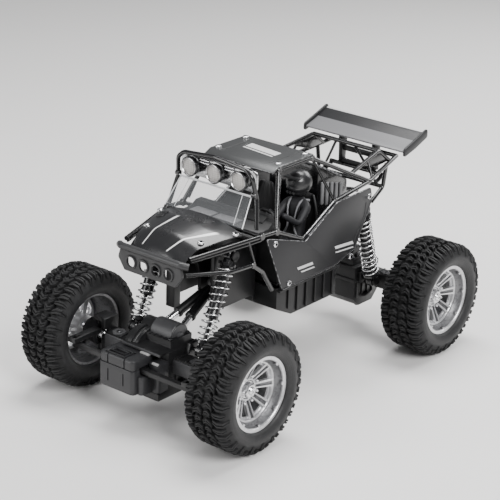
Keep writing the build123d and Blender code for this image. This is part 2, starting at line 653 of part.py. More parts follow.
# ---------------------------------------------------------------- nodes
def nodes():
    front_case, rear_case = front_axle_whole(), rear_axle_whole()
    left_panel, left_cage = side_panel(), cage_side()
    rear_tyre = tyre(-AXLE_X)
    made = {
        "chassis_tub": chassis_tub(), "front_tower": front_tower(), "rear_tower": rear_tower(),
        "battery_pack": battery_pack(), "battery_cover": battery_cover(),
        "circuit_board": circuit_board(), "power_switch": switch_slider(), "cockpit_tray": cockpit_tray(),
        "driver_figure": driver_figure(), "cage_left": left_cage, "cage_right": right(left_cage),
        "cage_cross_tubes": cage_cross_tubes(), "roof_panel": roof_panel(),
        "side_panels": Compound(children=[left_panel, right(left_panel)]),
        "rear_tyres": Compound(children=[rear_tyre, right(rear_tyre)]),
        "bonnet": bonnet(), "front_bumper": front_bumper(),
        "windscreen": windscreen(), "lamp_bar": lamp_bar(), "lamp_lenses": lamp_lenses(),
        "engine_cover": engine_cover(), "rear_wing": rear_wing(), "panel_screws": panel_screws(),
        "front_axle_case": lower_half(front_case),
        "front_axle_cover": upper_half(front_case) + shock_foot_lug(FRONT_SHOCK["foot"]),
        "front_motors": Compound(children=[drive_motor(1), steering_motor()]),
        "front_motor_pinion": motor_pinion(1), "front_pivot_ball": pivot_ball(1),
        "front_drive_shaft": front_drive_shaft(), "steering_case": steering_case(),
        "steering_gear": steering_gear(), "tie_rod": tie_rod(),
        "knuckle_left": knuckle(), "knuckle_right": right(knuckle()),
        "rear_axle_case": lower_half(rear_case),
        "rear_axle_cover": upper_half(rear_case) + rear(shock_foot_lug(REAR_SHOCK["foot"])),
        "rear_motor": drive_motor(-1), "rear_motor_pinion": motor_pinion(-1),
        "rear_pivot_ball": pivot_ball(-1), "rear_drive_shaft": rear_drive_shaft(),
    }
    for end, x_sign, shock in (("front", 1, FRONT_SHOCK), ("rear", -1, REAR_SHOCK)):
        for side in ("left", "right"):
            turned = right if side == "right" else (lambda part: part)
            made[f"{end}_{side}_rim"] = turned(rim(x_sign * AXLE_X))
            made[f"{end}_{side}_shock_body"] = turned(shock_body(shock, x_sign))
            made[f"{end}_{side}_shock_rod"] = turned(shock_rod(shock, x_sign))
            made[f"{end}_{side}_spring"] = turned(shock_spring(shock, x_sign))
            if end == "front":
                made[f"front_{side}_tyre"] = turned(tyre(AXLE_X))
                made[f"front_{side}_stub_axle"] = turned(stub_axle(AXLE_X))
    return made


os.makedirs("parts", exist_ok=True)
for name, part in nodes().items():
    export_step(part, f"parts/{name}.step")
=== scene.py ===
import json
import math

import bmesh
import bpy
from mathutils import Matrix, Vector

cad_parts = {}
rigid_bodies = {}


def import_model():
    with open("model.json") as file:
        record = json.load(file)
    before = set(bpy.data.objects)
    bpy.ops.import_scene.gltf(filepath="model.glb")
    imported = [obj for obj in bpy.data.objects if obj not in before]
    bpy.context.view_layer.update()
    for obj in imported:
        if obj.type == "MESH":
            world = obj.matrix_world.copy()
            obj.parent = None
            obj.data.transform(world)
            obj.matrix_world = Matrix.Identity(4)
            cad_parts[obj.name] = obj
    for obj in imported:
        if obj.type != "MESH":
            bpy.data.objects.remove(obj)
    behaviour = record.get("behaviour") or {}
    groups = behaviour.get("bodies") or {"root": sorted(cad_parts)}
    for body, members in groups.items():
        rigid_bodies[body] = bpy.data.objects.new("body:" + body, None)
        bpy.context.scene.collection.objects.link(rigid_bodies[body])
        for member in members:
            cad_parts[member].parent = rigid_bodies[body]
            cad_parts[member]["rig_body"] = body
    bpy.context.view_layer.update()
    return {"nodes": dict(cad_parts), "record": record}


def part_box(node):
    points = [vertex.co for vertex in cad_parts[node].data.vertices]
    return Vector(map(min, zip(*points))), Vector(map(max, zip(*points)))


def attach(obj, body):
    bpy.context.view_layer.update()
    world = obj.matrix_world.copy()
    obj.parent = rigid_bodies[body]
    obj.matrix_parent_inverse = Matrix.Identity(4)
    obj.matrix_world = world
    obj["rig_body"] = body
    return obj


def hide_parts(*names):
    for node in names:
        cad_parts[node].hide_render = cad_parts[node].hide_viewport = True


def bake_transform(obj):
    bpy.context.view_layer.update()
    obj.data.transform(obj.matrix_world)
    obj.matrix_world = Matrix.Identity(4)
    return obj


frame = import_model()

# ---------------------------------------------------------------- chassis tub
# The shallow tub under the cab and the two shock towers, injection moulded in black ABS with a fine
# spark-eroded grain. Everything else is screwed to it.


class Value:
    """One output in a node tree. Arithmetic on it adds Math nodes."""

    def __init__(self, graph, socket):
        self.graph, self.socket = graph, socket

    def math(self, operation, *others):
        return self.graph.add("ShaderNodeMath", {"operation": operation}, self, *others)

    def __add__(self, other):
        return self.math("ADD", other)

    def __sub__(self, other):
        return self.math("SUBTRACT", other)

    def __mul__(self, other):
        return self.math("MULTIPLY", other)

    def __truediv__(self, other):
        return self.math("DIVIDE", other)

    def __rsub__(self, other):
        return self.graph.add("ShaderNodeMath", {"operation": "SUBTRACT"}, other, self)

    __radd__, __rmul__ = __add__, __mul__

    def step(self, low, high):
        """0 below low, 1 above high, smooth between."""
        return self.graph.add("ShaderNodeMapRange", {"interpolation_type": "SMOOTHSTEP"}, self, low,
                              high)


class Graph:
    """A node tree, and the one method that adds any node to it."""

    def __init__(self, tree):
        self.tree = tree

    def join(self, value, socket):
        if isinstance(value, Value):
            self.tree.links.new(value.socket, socket)
        elif value is not None:
            socket.default_value = value

    def add(self, kind, settings=None, *values, out=0, **named):
        node = self.tree.nodes.new(kind)
        for key, setting in (settings or {}).items():
            setattr(node, key, setting)
        for socket, value in zip(node.inputs, values):
            self.join(value, socket)
        for key, value in named.items():
            self.join(value, node.inputs[key.replace("_", " ")])
        return Value(self, node.outputs[out])


class Finish(Graph):
    """A material: constants go on the shader's own sockets, and what varies is joined to them."""

    def __init__(self, name, colour, roughness, metallic=0.0, **constants):
        self.material = bpy.data.materials.new(name)
        self.material.use_nodes = True
        super().__init__(self.material.node_tree)
        self.shader = self.tree.nodes["Principled BSDF"]
        self.set(Base_Color=(*colour, 1), Roughness=roughness, Metallic=metallic, **constants)

    def set(self, **sockets):
        for key, value in sockets.items():
            self.join(value, self.shader.inputs[key.replace("_", " ")])
        return self

    def place(self):
        """Where a point lies on the car, in millimetres."""
        spot = self.add("ShaderNodeTexCoord", out=3)
        return self.add("ShaderNodeVectorMath", {"operation": "MULTIPLY"}, spot, (1000, 1000, 1000))

    def local(self):
        """Where a point lay on the piece before it was put in place, in millimetres."""
        return self.add("ShaderNodeAttribute", {"attribute_name": "local"}, out=1)

    def mask(self, name):
        """A number from 0 to 1 that the mesh carries."""
        return self.add("ShaderNodeAttribute", {"attribute_name": name}, out=2)

    def split(self, vector):
        x = self.add("ShaderNodeSeparateXYZ", None, vector)
        return [Value(self, socket) for socket in x.socket.node.outputs]

    def noise(self, vector, scale, detail=4.0, roughness=0.5):
        return self.add("ShaderNodeTexNoise", None, Vector=vector, Scale=scale, Detail=detail,
                        Roughness=roughness)

    def mix(self, mask, first, second):
        node = self.tree.nodes.new("ShaderNodeMix")
        node.data_type = "RGBA"
        for index, value in ((0, mask), (6, first), (7, second)):
            self.join((*value, 1) if isinstance(value, tuple) else value, node.inputs[index])
        return Value(self, node.outputs[2])

    def bump(self, height, depth):
        """height runs from 0 to 1, and depth is its size in millimetres."""
        bump = self.add("ShaderNodeBump", None, Strength=1.0, Distance=depth * 0.001, Height=height)
        return self.set(Normal=bump)


def moulded(name, colour, roughness, grain=2.2, depth=0.03, **constants):
    """Injection-moulded plastic: fine grain, faint flow marks, dust in places."""
    plastic = Finish(name, colour, roughness, Specular_IOR_Level=0.38, **constants)
    place = plastic.place()
    flow = plastic.noise(place, 0.06, 5.0, 0.6)
    dust = plastic.noise(place, 0.35, 6.0, 0.7).step(0.48, 0.78)
    paler = tuple(min(1.0, c * 1.5 + 0.006) for c in colour)
    plastic.set(Base_Color=plastic.mix(flow * 0.35 + dust * 0.35, colour, paler),
                Roughness=roughness - 0.07 + flow * 0.14 + dust * 0.12)
    return plastic.bump(plastic.noise(place, grain, 3.0, 0.6), depth)


def uneven(finish, low, spread, scale, detail=4.0):
    """Roughness that drifts a little from place to place, as on a handled surface."""
    return finish.set(Roughness=low + finish.noise(finish.place(), scale, detail) * spread)


BLACK_ABS = moulded("moulded_black", (0.007, 0.007, 0.0075), 0.36)


def linked(name, data):
    """A new object in the scene."""
    thing = bpy.data.objects.new(name, data)
    bpy.context.scene.collection.objects.link(thing)
    return thing


def new_piece(name, points, faces=(), edges=()):
    """A mesh object. Its points are in millimetres."""
    mesh = bpy.data.meshes.new(name)
    mesh.from_pydata([Vector(p) * 0.001 for p in points], edges, faces)
    return linked(name, mesh)


def plain(piece):
    """Applies what hangs on the piece, so that it is a plain mesh."""
    bpy.context.view_layer.update()
    mesh = bpy.data.meshes.new_from_object(piece.evaluated_get(bpy.context.evaluated_depsgraph_get()))
    piece.modifiers.clear()
    piece.data = mesh
    return piece


def change(piece, kind, **settings):
    """Applies one modifier."""
    modifier = piece.modifiers.new(kind.lower(), kind)
    for key, value in settings.items():
        setattr(modifier, key, value)
    return plain(piece)


EDGE_ANGLE = 30.0             # edges sharper than this many degrees are rounded
MOULD_ANGLE = 32.0            # the same for the CAD shapes, whose round faces are many flats


def ease(piece, bevel, segments=2, angle=EDGE_ANGLE):
    """Rounds the piece's edges by bevel millimetres."""
    return change(piece, "BEVEL", width=bevel * 0.001, segments=segments, limit_method="ANGLE",
                  angle_limit=math.radians(angle))


def coat(mesh, finish):
    """Makes the finish the mesh's only material."""
    mesh.materials.clear()
    mesh.materials.append(finish.material)


def shade(piece, smooth):
    """Smooth shading that breaks at edges sharper than smooth degrees."""
    piece.data.shade_smooth()
    piece.data.set_sharp_from_angle(angle=math.radians(smooth))
    return piece


def tidy(piece, finish=None, bevel=0.0, smooth=35.0):
    """Merges doubles, faces the mesh outwards, rounds its edges by bevel millimetres and shades it."""
    work = bmesh.new()
    work.from_mesh(piece.data)
    bmesh.ops.remove_doubles(work, verts=work.verts, dist=1e-6)
    bmesh.ops.recalc_face_normals(work, faces=work.faces)
    work.to_mesh(piece.data)
    work.free()
    if bevel:
        ease(piece, bevel)
    if finish:
        coat(piece.data, finish)
    return shade(piece, smooth)


def merge(name, *pieces):
    """Joins pieces into one mesh object, keeping their materials."""
    joined = bmesh.new()
    materials = []
    for piece in pieces:
        own = list(piece.data.materials) or [None]
        start = len(joined.faces)
        joined.from_mesh(piece.data)
        joined.faces.ensure_lookup_table()
        for face in joined.faces[start:]:
            material = own[min(face.material_index, len(own) - 1)]
            if material not in materials:
                materials.append(material)
            face.material_index = materials.index(material)
    mesh = bpy.data.meshes.new(name)
    joined.to_mesh(mesh)
    joined.free()
    for material in materials:
        mesh.materials.append(material)
    for piece in pieces:
        bpy.data.objects.remove(piece)
    return linked(name, mesh)


def fit(piece, body, slot, *stands_for):
    """Fixes a finished piece to its CAD body and hides the nodes it stands for. The slot argument is not
    used.
    """
    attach(piece, body)
    if stands_for:
        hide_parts(*stands_for)
    return piece


SLOTS = {part["node"]: part["material_slot"] for part in frame["record"]["subparts"]}


def soften(node, finish, bevel):
    """The node's own shape with its edges rounded, as a mould leaves them, in place of the node."""
    source = frame["nodes"][node]
    piece = linked(f"{node}_skin", source.data.copy())
    work = bmesh.new()
    work.from_mesh(piece.data)
    bmesh.ops.remove_doubles(work, verts=work.verts, dist=2e-6)
    bmesh.ops.dissolve_limit(work, angle_limit=math.radians(0.5), verts=work.verts,
                             edges=work.edges)
    work.to_mesh(piece.data)
    work.free()
    ease(piece, bevel, angle=MOULD_ANGLE)
    coat(piece.data, finish)
    return fit(shade(piece, MOULD_ANGLE), source["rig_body"], SLOTS[node], node)


def paint(finish, *nodes):
    """Gives CAD nodes that stay as they are their finish."""
    for node in nodes:
        coat(frame["nodes"][node].data, finish)


def weave(rows, wide, closed=False):
    """The faces between rows of points, each wide points long, closed round if asked."""
    return [(i * wide + j, i * wide + (j + 1) % wide, (i + 1) * wide + (j + 1) % wide,
             (i + 1) * wide + j) for i in range(rows - 1)
            for j in range(wide if closed else wide - 1)]


def box(x0, x1, y0, y1, z0, z1):
    corners = [(x, y, z) for x in (x0, x1) for y in (y0, y1) for z in (z0, z1)]
    faces = [(0, 1, 3, 2), (4, 6, 7, 5), (0, 4, 5, 1), (2, 3, 7, 6), (0, 2, 6, 4), (1, 5, 7, 3)]
    return new_piece("block", corners, faces)


def span(sign, near, far):
    """The stretch from near to far on one side of the car, lower end first."""
    return sorted((sign * near, sign * far))


soften("chassis_tub", BLACK_ABS, 0.4)


def tub_ribs():
    """Stiffening ribs and the turned-out lip round the top of the tub, under the side panels."""
    tub_low, tub_high = -34, 30
    count, pitch, half_thick = 6, 9.5, 0.6
    parts = []
    for side in (1, -1):
        for i in range(count):
            x = tub_low + 5 + i * pitch
            low = 53.5 if x < 14 else 57.5           # the front of the tub is shallower
            parts.append(box(x - half_thick, x + half_thick, *span(side, 37.9, 39.4), low, 73.5))
        parts.append(box(tub_low, tub_high, *span(side, 37.5, 41.0), 72.4, 73.9))
    return tidy(merge("tub_ribs", *parts), BLACK_ABS, bevel=0.3)


fit(tub_ribs(), "chassis", "black_plastic")

# ---------------------------------------------------------------- battery, board and switch
# Two shrink-wrapped cells lie across the tub under a snap-in hatch. The receiver board clips over
# them, and the slide switch pokes through the floor.
SLEEVE = moulded("battery_sleeve", (0.04, 0.07, 0.16), 0.3, grain=0.9, depth=0.02)
BOARD = Finish("circuit_board", (0.01, 0.10, 0.035), 0.35)
spot = BOARD.place()
tracks = BOARD.add("ShaderNodeTexBrick", {"offset": 0.37, "squash": 1.6}, Vector=spot, Scale=0.42,
                   Mortar_Size=0.035, out=1)
BOARD.set(Base_Color=BOARD.mix(tracks, (0.008, 0.09, 0.03), (0.05, 0.24, 0.09)),
          Roughness=0.42 - tracks * 0.14)
BOARD.bump(tracks, 0.04)
paint(SLEEVE, "battery_pack")
paint(BOARD, "circuit_board")
soften("battery_cover", BLACK_ABS, 0.3)
soften("power_switch", moulded("switch_knob", (0.015, 0.015, 0.016), 0.5), 0.25)

# ---------------------------------------------------------------- cockpit
# One vacuum-thin moulding gives the floor and the firewall. The dash has a hooded gauge cluster, and two
# ribbed bucket seats with side bolsters are pressed into the floor.
COCKPIT = moulded("cockpit_plastic", (0.012, 0.012, 0.0125), 0.45, grain=1.6, depth=0.05)
TRIM = moulded("dash_trim", (0.15, 0.15, 0.155), 0.42, grain=1.3)


def slab(name, outline, y0, y1):
    """An outline of (x, z) points, extruded across the car."""
    count = len(outline)
    points = [(x, y0, z) for x, z in outline] + [(x, y1, z) for x, z in outline]
    faces = [tuple(range(count)), tuple(range(2 * count - 1, count - 1, -1))]
    faces += weave(2, count, closed=True)
    return new_piece(name, points, faces)


def revolve(name, outline, count, closed=True):
    """Turns an outline of (along, radius) points round the Y axis."""
    points, faces = [], []
    size = len(outline)
    for i in range(count):
        turn = 2 * math.pi * i / count
        points += [(r * math.cos(turn), a, r * math.sin(turn)) for a, r in outline]
        for j in range(size if closed else size - 1):
            k = (j + 1) % size
            here, there = i * size, ((i + 1) % count) * size
            faces.append((here + j, here + k, there + k, there + j))
    return tidy(new_piece(name, points, faces))


def aim(place, direction):
    """Takes the Y axis to the direction, and the origin to the place, in millimetres."""
    turn = Vector((0, 1, 0)).rotation_difference(Vector(direction)).to_matrix().to_4x4()
    return Matrix.Translation(Vector(place) * 0.001) @ turn


def shift(x, y, z):
    """A move in millimetres."""
    return Matrix.Translation((x * 0.001, y * 0.001, z * 0.001))


def moved(piece, move):
    piece.data.transform(move)
    return piece


SEAT_Y = 17.5


def bucket_seat(side):
    """A sheet bent up from cushion to backrest, raised along its sides and quilted across."""
    path = [(-3, 85.5), (-8, 86.2), (-14, 85.4), (-20, 85.2), (-24, 88), (-25.4, 94), (-26.2, 102),
            (-27, 110), (-27.6, 117), (-28.2, 121)]
    points = []
    across = 12
    for i, (x, z) in enumerate(path):
        before, after = path[max(i - 1, 0)], path[min(i + 1, len(path) - 1)]
        run = Vector((after[0] - before[0], after[1] - before[1])).normalized()
        out = Vector((-run.y, run.x)) if run.x >= 0 else Vector((run.y, -run.x))
        half = 10.2 if i < len(path) - 2 else 10.2 - 2.4 * (i - len(path) + 3)
        for j in range(across + 1):
            u = 2 * j / across - 1
            lift = 3.6 * abs(u) ** 4 + 0.5 * abs(math.sin(3 * math.pi * u))
            points.append((x + out.x * lift, side * SEAT_Y + half * u, z + out.y * lift))
    seat = tidy(new_piece("seat", points, weave(len(path), across + 1)), COCKPIT)
    change(seat, "SOLIDIFY", thickness=0.0018, offset=0)
    return change(seat, "SUBSURF", levels=2, render_levels=2)


def cockpit():
    floor_pan = tidy(merge("pan", box(-30, 26, -35, 35, 74.2, 75.8),
                           box(22, 25.6, -34, 34, 75.8, 112)), COCKPIT, 0.5)
    risers = [tidy(box(-29.5, -6, s * SEAT_Y - 9, s * SEAT_Y + 9, 75.8, 82.5), COCKPIT, 0.8)
              for s in (1, -1)]
    dash = slab("dash", [(22, 111), (50, 111), (50, 113), (45, 115.2), (34, 116.4), (30, 119),
                         (24.5, 119.2), (22, 117)], -33, 33)
    hood = slab("hood", [(20.5, 114), (30, 114), (33, 118), (27, 121.4), (20.5, 120.4)], 8.5, 26.5)
    trims = [box(34.5, 43, y - 9, y + 9, 115.0, 116.6) for y in (-18, 2)]
    seats = [bucket_seat(side) for side in (1, -1)]
    wheel = revolve("wheel", [(1.05 * math.cos(t), 5.9 + 1.05 * math.sin(t))
                              for t in (math.pi * k / 6 for k in range(12))], 36)
    hub = revolve("hub", [(-1.6, 0.02), (-1.6, 1.5), (0.4, 2.0), (0.9, 1.6), (0.9, 0.02)], 20)
    spokes = [moved(tidy(box(0, 5.6, -0.45, 0.35, -0.8, 0.8), bevel=0.2),
                    Matrix.Rotation(turn, 4, "Y")) for turn in (0.35, math.pi - 0.35, -math.pi / 2)]
    steering = moved(merge("steering", wheel, hub, *spokes), aim((16, SEAT_Y, 116), (-8, 0, 4)))
    gauges = []
    for y, r in ((13.2, 2.9), (19.6, 2.9), (24.2, 1.3)):
        ring = revolve("gauge", [(0, 0.02), (0.2, r * 0.82), (0.9, r * 0.86), (0.9, r), (-0.8, r),
                                 (-0.8, 0.02)], 24)
        gauges.append(moved(ring, aim((20.6, y, 117.2), (-1, 0, 0.12))))
    dark = merge("dark", tidy(dash, COCKPIT, 0.6), tidy(hood, COCKPIT, 0.8),
                 tidy(steering, COCKPIT))
    pale = tidy(merge("pale", *trims, *gauges), TRIM, 0.25)
    return merge("cockpit_moulding", floor_pan, *risers, dark, pale, *seats)


fit(cockpit(), "chassis", "cockpit_plastic", "cockpit_tray")

# ---------------------------------------------------------------- driver
# A small moulded figure in a quilted suit with a four-strap harness and a full-face helmet, belted into
# the left seat. The suit is satin, the helmet is lacquered.
SUIT = moulded("driver_suit", (0.014, 0.014, 0.016), 0.55, grain=1.1, depth=0.12)
HELMET = Finish("helmet_lacquer", (0.010, 0.010, 0.011), 0.3, Coat_Weight=0.35, Coat_Roughness=0.22)
uneven(HELMET, 0.27, 0.16, 0.3)
HELMET.bump(HELMET.noise(HELMET.place(), 1.4, 3.0), 0.03)
STRAP = moulded("harness_strap", (0.20, 0.20, 0.21), 0.6, grain=2.6, depth=0.12)
HEAD = (-16.5, SEAT_Y, 131)


def body_skin(name, joints, bones, rings=2):
    """A soft body grown round a stick figure of (x, y, z, radius) joints."""
    stick = new_piece(name, [j[:3] for j in joints], (), bones)
    skin = stick.modifiers.new("skin", "SKIN")
    skin.use_smooth_shade = True
    for vertex, joint in zip(stick.data.skin_vertices[0].data, joints):
        vertex.radius = (joint[3] * 0.001, joint[3] * 0.001)
    stick.data.skin_vertices[0].data[0].use_root = True
    rounded = stick.modifiers.new("round", "SUBSURF")
    rounded.levels = rounded.render_levels = rings
    return plain(stick)


def tube(name, path, radius, sides=12):
    """A round bar along a path, with its corners left to overlap."""
    points = []
    for i, spot_on in enumerate(path):
        before, after = Vector(path[max(i - 1, 0)]), Vector(path[min(i + 1, len(path) - 1)])
        turn = Vector((0, 0, 1)).rotation_difference(after - before)
        for k in range(sides):
            angle = 2 * math.pi * k / sides
            ring_point = turn @ Vector((radius * math.cos(angle), radius * math.sin(angle), 0))
            points.append(tuple(Vector(spot_on) + ring_point))
    faces = weave(len(path), sides, closed=True)
    faces += [tuple(range(sides)), tuple(range((len(path) - 1) * sides, len(path) * sides))]
    return new_piece(name, points, faces)


def driver():
    y = SEAT_Y
    joints = [(-15.5, y, 93, 6.4), (-15.5, y, 101, 6.0), (-16, y, 110, 6.6), (-16, y, 117.5, 4.6),
              (-16, y, 122, 3.0), (-15, y + 8.4, 116, 3.6), (-4, y + 9.6, 107.5, 2.6),
              (8.6, y + 5.6, 116.5, 2.0), (-15, y - 8.4, 116, 3.6), (-4, y - 9.6, 107.5, 2.6),
              (8.6, y - 5.6, 116.5, 2.0), (-9, y + 4.6, 90.5, 4.2), (7, y + 4.8, 95, 3.5),
              (14, y + 4.8, 82.5, 2.6), (18, y + 4.8, 80, 2.0), (-9, y - 4.6, 90.5, 4.2),
              (7, y - 4.8, 95, 3.5), (14, y - 4.8, 82.5, 2.6), (18, y - 4.8, 80, 2.0)]
    bones = [(0, 1), (1, 2), (2, 3), (3, 4), (3, 5), (5, 6), (6, 7), (3, 8), (8, 9), (9, 10),
             (0, 11), (11, 12), (12, 13), (13, 14), (0, 15), (15, 16), (16, 17), (17, 18)]
    suit = tidy(body_skin("suit", joints, bones), SUIT, smooth=80)
    straps = []
    for side in (1, -1):
        path = [(-22, y + side * 4.2, 118), (-14, y + side * 4.4, 121.2), (-9.6, y + side * 4, 117),
                (-8.4, y + side * 3, 109), (-8.6, y + side * 2, 101), (-8.4, y + side * 7, 95)]
        straps.append(tube("strap", path, 1.0, 6))
    harness = change(merge("harness", *straps), "SUBSURF", levels=1, render_levels=1)
    shell = revolve("shell", [(9.0 * math.sin(t), max(0.02, 9.0 * math.cos(t)))
                              for t in (math.pi * (k / 16 - 0.5) for k in range(17))], 32,
                    closed=False)
    for vertex in shell.data.vertices:
        front = max(0.0, vertex.co.x)
        vertex.co.x *= 1.05 + 30 * front * (0.6 if vertex.co.z < 0 else 0.0)
        vertex.co.z *= 0.98
        vertex.co.y *= 0.9
    visor = revolve("visor", [(8.55 * math.sin(t), 9.6 * math.cos(t))
                              for t in (0.17 * (k - 6) for k in range(13))], 40, closed=False)
    cut = bmesh.new()
    cut.from_mesh(visor.data)
    hidden = [v for v in cut.verts if v.co.x < 0.004 or not -0.0016 < v.co.z < 0.0042]
    bmesh.ops.delete(cut, geom=hidden, context="VERTS")
    cut.to_mesh(visor.data)
    cut.free()
    change(visor, "SOLIDIFY", thickness=0.0006, offset=0)
    brim = tidy(box(5.5, 10.6, -6, 6, 5.2, 5.9), bevel=0.3)
    vents = [tidy(box(9.0, 10.4, v - 0.7, v + 0.7, -5.6, -3.9), bevel=0.2) for v in (-2.4, 0, 2.4)]
    helmet = moved(merge("helmet", tidy(shell, HELMET, smooth=60), tidy(visor, HELMET, smooth=60),
                         brim, *vents), shift(*HEAD))
    tidy(helmet, HELMET, smooth=50)
    return merge("driver", suit, tidy(harness, STRAP, smooth=60), helmet)


fit(driver(), "chassis", "figure_plastic", "driver_figure")

# ---------------------------------------------------------------- axle housings
# Each solid axle is a pair of black clam shells, parted at the wheel centres and drawn together by small
# cross-head screws. Ribs, an end flange and a plate round the motor are moulded on.


class Builder(Graph):
    """A Geometry Nodes tree with named inputs, which ends in Realize Instances and Set Material."""

    KINDS = {float: "NodeSocketFloat", int: "NodeSocketInt", tuple: "NodeSocketVector"}

    def __init__(self, name, **inputs):
        super().__init__(bpy.data.node_groups.new(name, "GeometryNodeTree"))
        sockets = self.tree.interface
        sockets.new_socket("Geometry", in_out="OUTPUT", socket_type="NodeSocketGeometry")
        sockets.new_socket("Geometry", in_out="INPUT", socket_type="NodeSocketGeometry")
        for key, default in inputs.items():
            if default is None:
                sockets.new_socket(key, in_out="INPUT", socket_type="NodeSocketObject")
            else:
                sockets.new_socket(key, in_out="INPUT",
                                   socket_type=self.KINDS[type(default)]).default_value = default
        sockets.new_socket("Material", in_out="INPUT", socket_type="NodeSocketMaterial")
        self.source = self.tree.nodes.new("NodeGroupInput")

    def given(self, key):
        return Value(self, self.source.outputs[key])

    def finish(self, geometry):
        real = self.add("GeometryNodeRealizeInstances", None, geometry)
        done = self.add("GeometryNodeSetMaterial", None, real, Material=self.given("Material"))
        self.join(done, self.tree.nodes.new("NodeGroupOutput").inputs[0])
        return self


def grow(piece, builder, finish, **sizes):
    """Runs a Geometry Nodes tree on the piece and keeps the result as its mesh."""
    modifier = piece.modifiers.new("grow", "NODES")
    modifier.node_group = builder.tree
    sockets = {item.name: item.identifier
               for item in builder.tree.interface.items_tree if item.in_out == "INPUT"}
    for key, value in sizes.items():
        modifier[sockets[key]] = value
    modifier[sockets["Material"]] = finish.material
    return plain(piece)


def heads_builder():
    """Puts a copy of Head on each point of the mesh, turned to the point's facing."""
    heads = Builder("fastener_heads", Head=None)
    head = heads.add("GeometryNodeObjectInfo", None, heads.given("Head"), out=4)
    facing = heads.add("GeometryNodeInputNamedAttribute", {"data_type": "FLOAT_VECTOR"}, "facing")
    turn = heads.add("FunctionNodeAlignRotationToVector", {"axis": "Y"}, Vector=facing)
    spread = heads.add("FunctionNodeRandomValue", None, None, None, 0.0, math.pi, Seed=3, out=1)
    spin = heads.add("FunctionNodeRotateRotation", {"rotation_space": "LOCAL"}, turn,
                     heads.add("ShaderNodeCombineXYZ", None, 0.0, spread, 0.0))
    return heads.finish(heads.add("GeometryNodeInstanceOnPoints", None, heads.given("Geometry"),
                                  Instance=head, Rotation=spin))


HEADS = heads_builder()


def mark(piece, name, values, domain="POINT"):
    """Keeps a number for each point or face, for the material to read."""
    piece.data.attributes.new(name, "FLOAT", domain).data.foreach_set("value", values)
    return piece


def screws(name, head, finish, places):
    """places are (point, direction) pairs, in millimetres."""
    seats = new_piece(name, [point for point, _ in places])
    facing = seats.data.attributes.new("facing", "FLOAT_VECTOR", "POINT")
    for item, (_, direction) in zip(facing.data, places):
        item.vector = direction
    return grow(seats, HEADS, finish, Head=head)


def fastener_head(name, radius, height, recess, sides=24, points=6):
    """A domed head about the Y axis with a socket of the given half width, six-sided or crossed."""
    rings = [(0.0, radius), (height * 0.45, radius), (height * 0.75, radius * 0.93),
             (height * 0.95, radius * 0.76), (height, radius * 0.62)]
    step = 2 * math.pi / sides
    socket = []
    for k in range(sides):
        if points == 6:
            socket.append(recess / math.cos((k * step) % (math.pi / 3) - math.pi / 6))
        else:
            socket.append(recess * (1.0 if k % (sides // 4) in (0, 1, sides // 4 - 1) else 0.32))
    rows = [[(r, a)] * sides for a, r in rings]
    rows += [[(s, height) for s in socket], [(s * 0.94, height * 0.3) for s in socket]]
    mesh_points = [(r * math.cos(k * step), a, r * math.sin(k * step)) for row in rows for k,
                   (r, a) in enumerate(row)]
    last = len(rows) - 1
    faces = weave(len(rows), sides, closed=True)
    faces += [tuple(range(last * sides, (last + 1) * sides)), tuple(range(sides))]
    head = tidy(new_piece(name, mesh_points, faces), smooth=30)
    # The bottom of the socket is marked, so that the finish paints it dark as painted shade.
    spots = [(v.co.y * 1000, v.co.xz.length * 1000) for v in head.data.vertices]
    return mark(head, "pit", [1.0 if 0 < up < height * 0.35 and out < radius * 0.9 else 0.0 for up,
                              out in spots])


def bright_metal(name, colour, roughness):
    """Plated steel: fine brushing, smears, and painted shade down inside the sockets."""
    metal = Finish(name, colour, roughness, 1.0)
    place = metal.place()
    smear = metal.noise(place, 0.5, 4.0)
    dull = metal.mix(smear.step(0.35, 0.8), colour, tuple(c * 0.7 for c in colour))
    # Where the mesh is marked, the colour goes near black: painted shade in the recess.
    metal.set(Roughness=roughness - 0.06 + smear * 0.18,
              Base_Color=metal.mix(metal.mask("pit").step(0.2, 0.8), dull, (0.012, 0.012, 0.013)))
    return metal.bump(metal.noise(place, 6.0, 3.0), 0.02)


BRIGHT = bright_metal("bright_steel", (0.80, 0.80, 0.81), 0.2)
DARK_SCREW = bright_metal("black_oxide", (0.09, 0.09, 0.095), 0.32)
CASE_HEAD = fastener_head("case_head", 1.5, 0.9, 0.95, points=4)

AXLE_X = (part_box("front_left_tyre")[0].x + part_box("front_left_tyre")[1].x) * 500
HUB_Z = (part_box("front_left_tyre")[0].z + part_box("front_left_tyre")[1].z) * 500
GREY_ABS = moulded("worn_grey", (0.038, 0.038, 0.040), 0.36)


def bar(name, start, end, radius, sides=20, bevel=0.25):
    """A round bar between two points, with its rims eased."""
    length = (Vector(end) - Vector(start)).length
    rounded = revolve(name, [(0, 0.02), (0, radius - bevel), (bevel, radius),
                             (length - bevel, radius), (length, radius - bevel), (length, 0.02)],
                      sides)
    return moved(rounded, aim(start, Vector(end) - Vector(start)))


MOTOR_X, MOTOR_Z = 94.8, 54.62


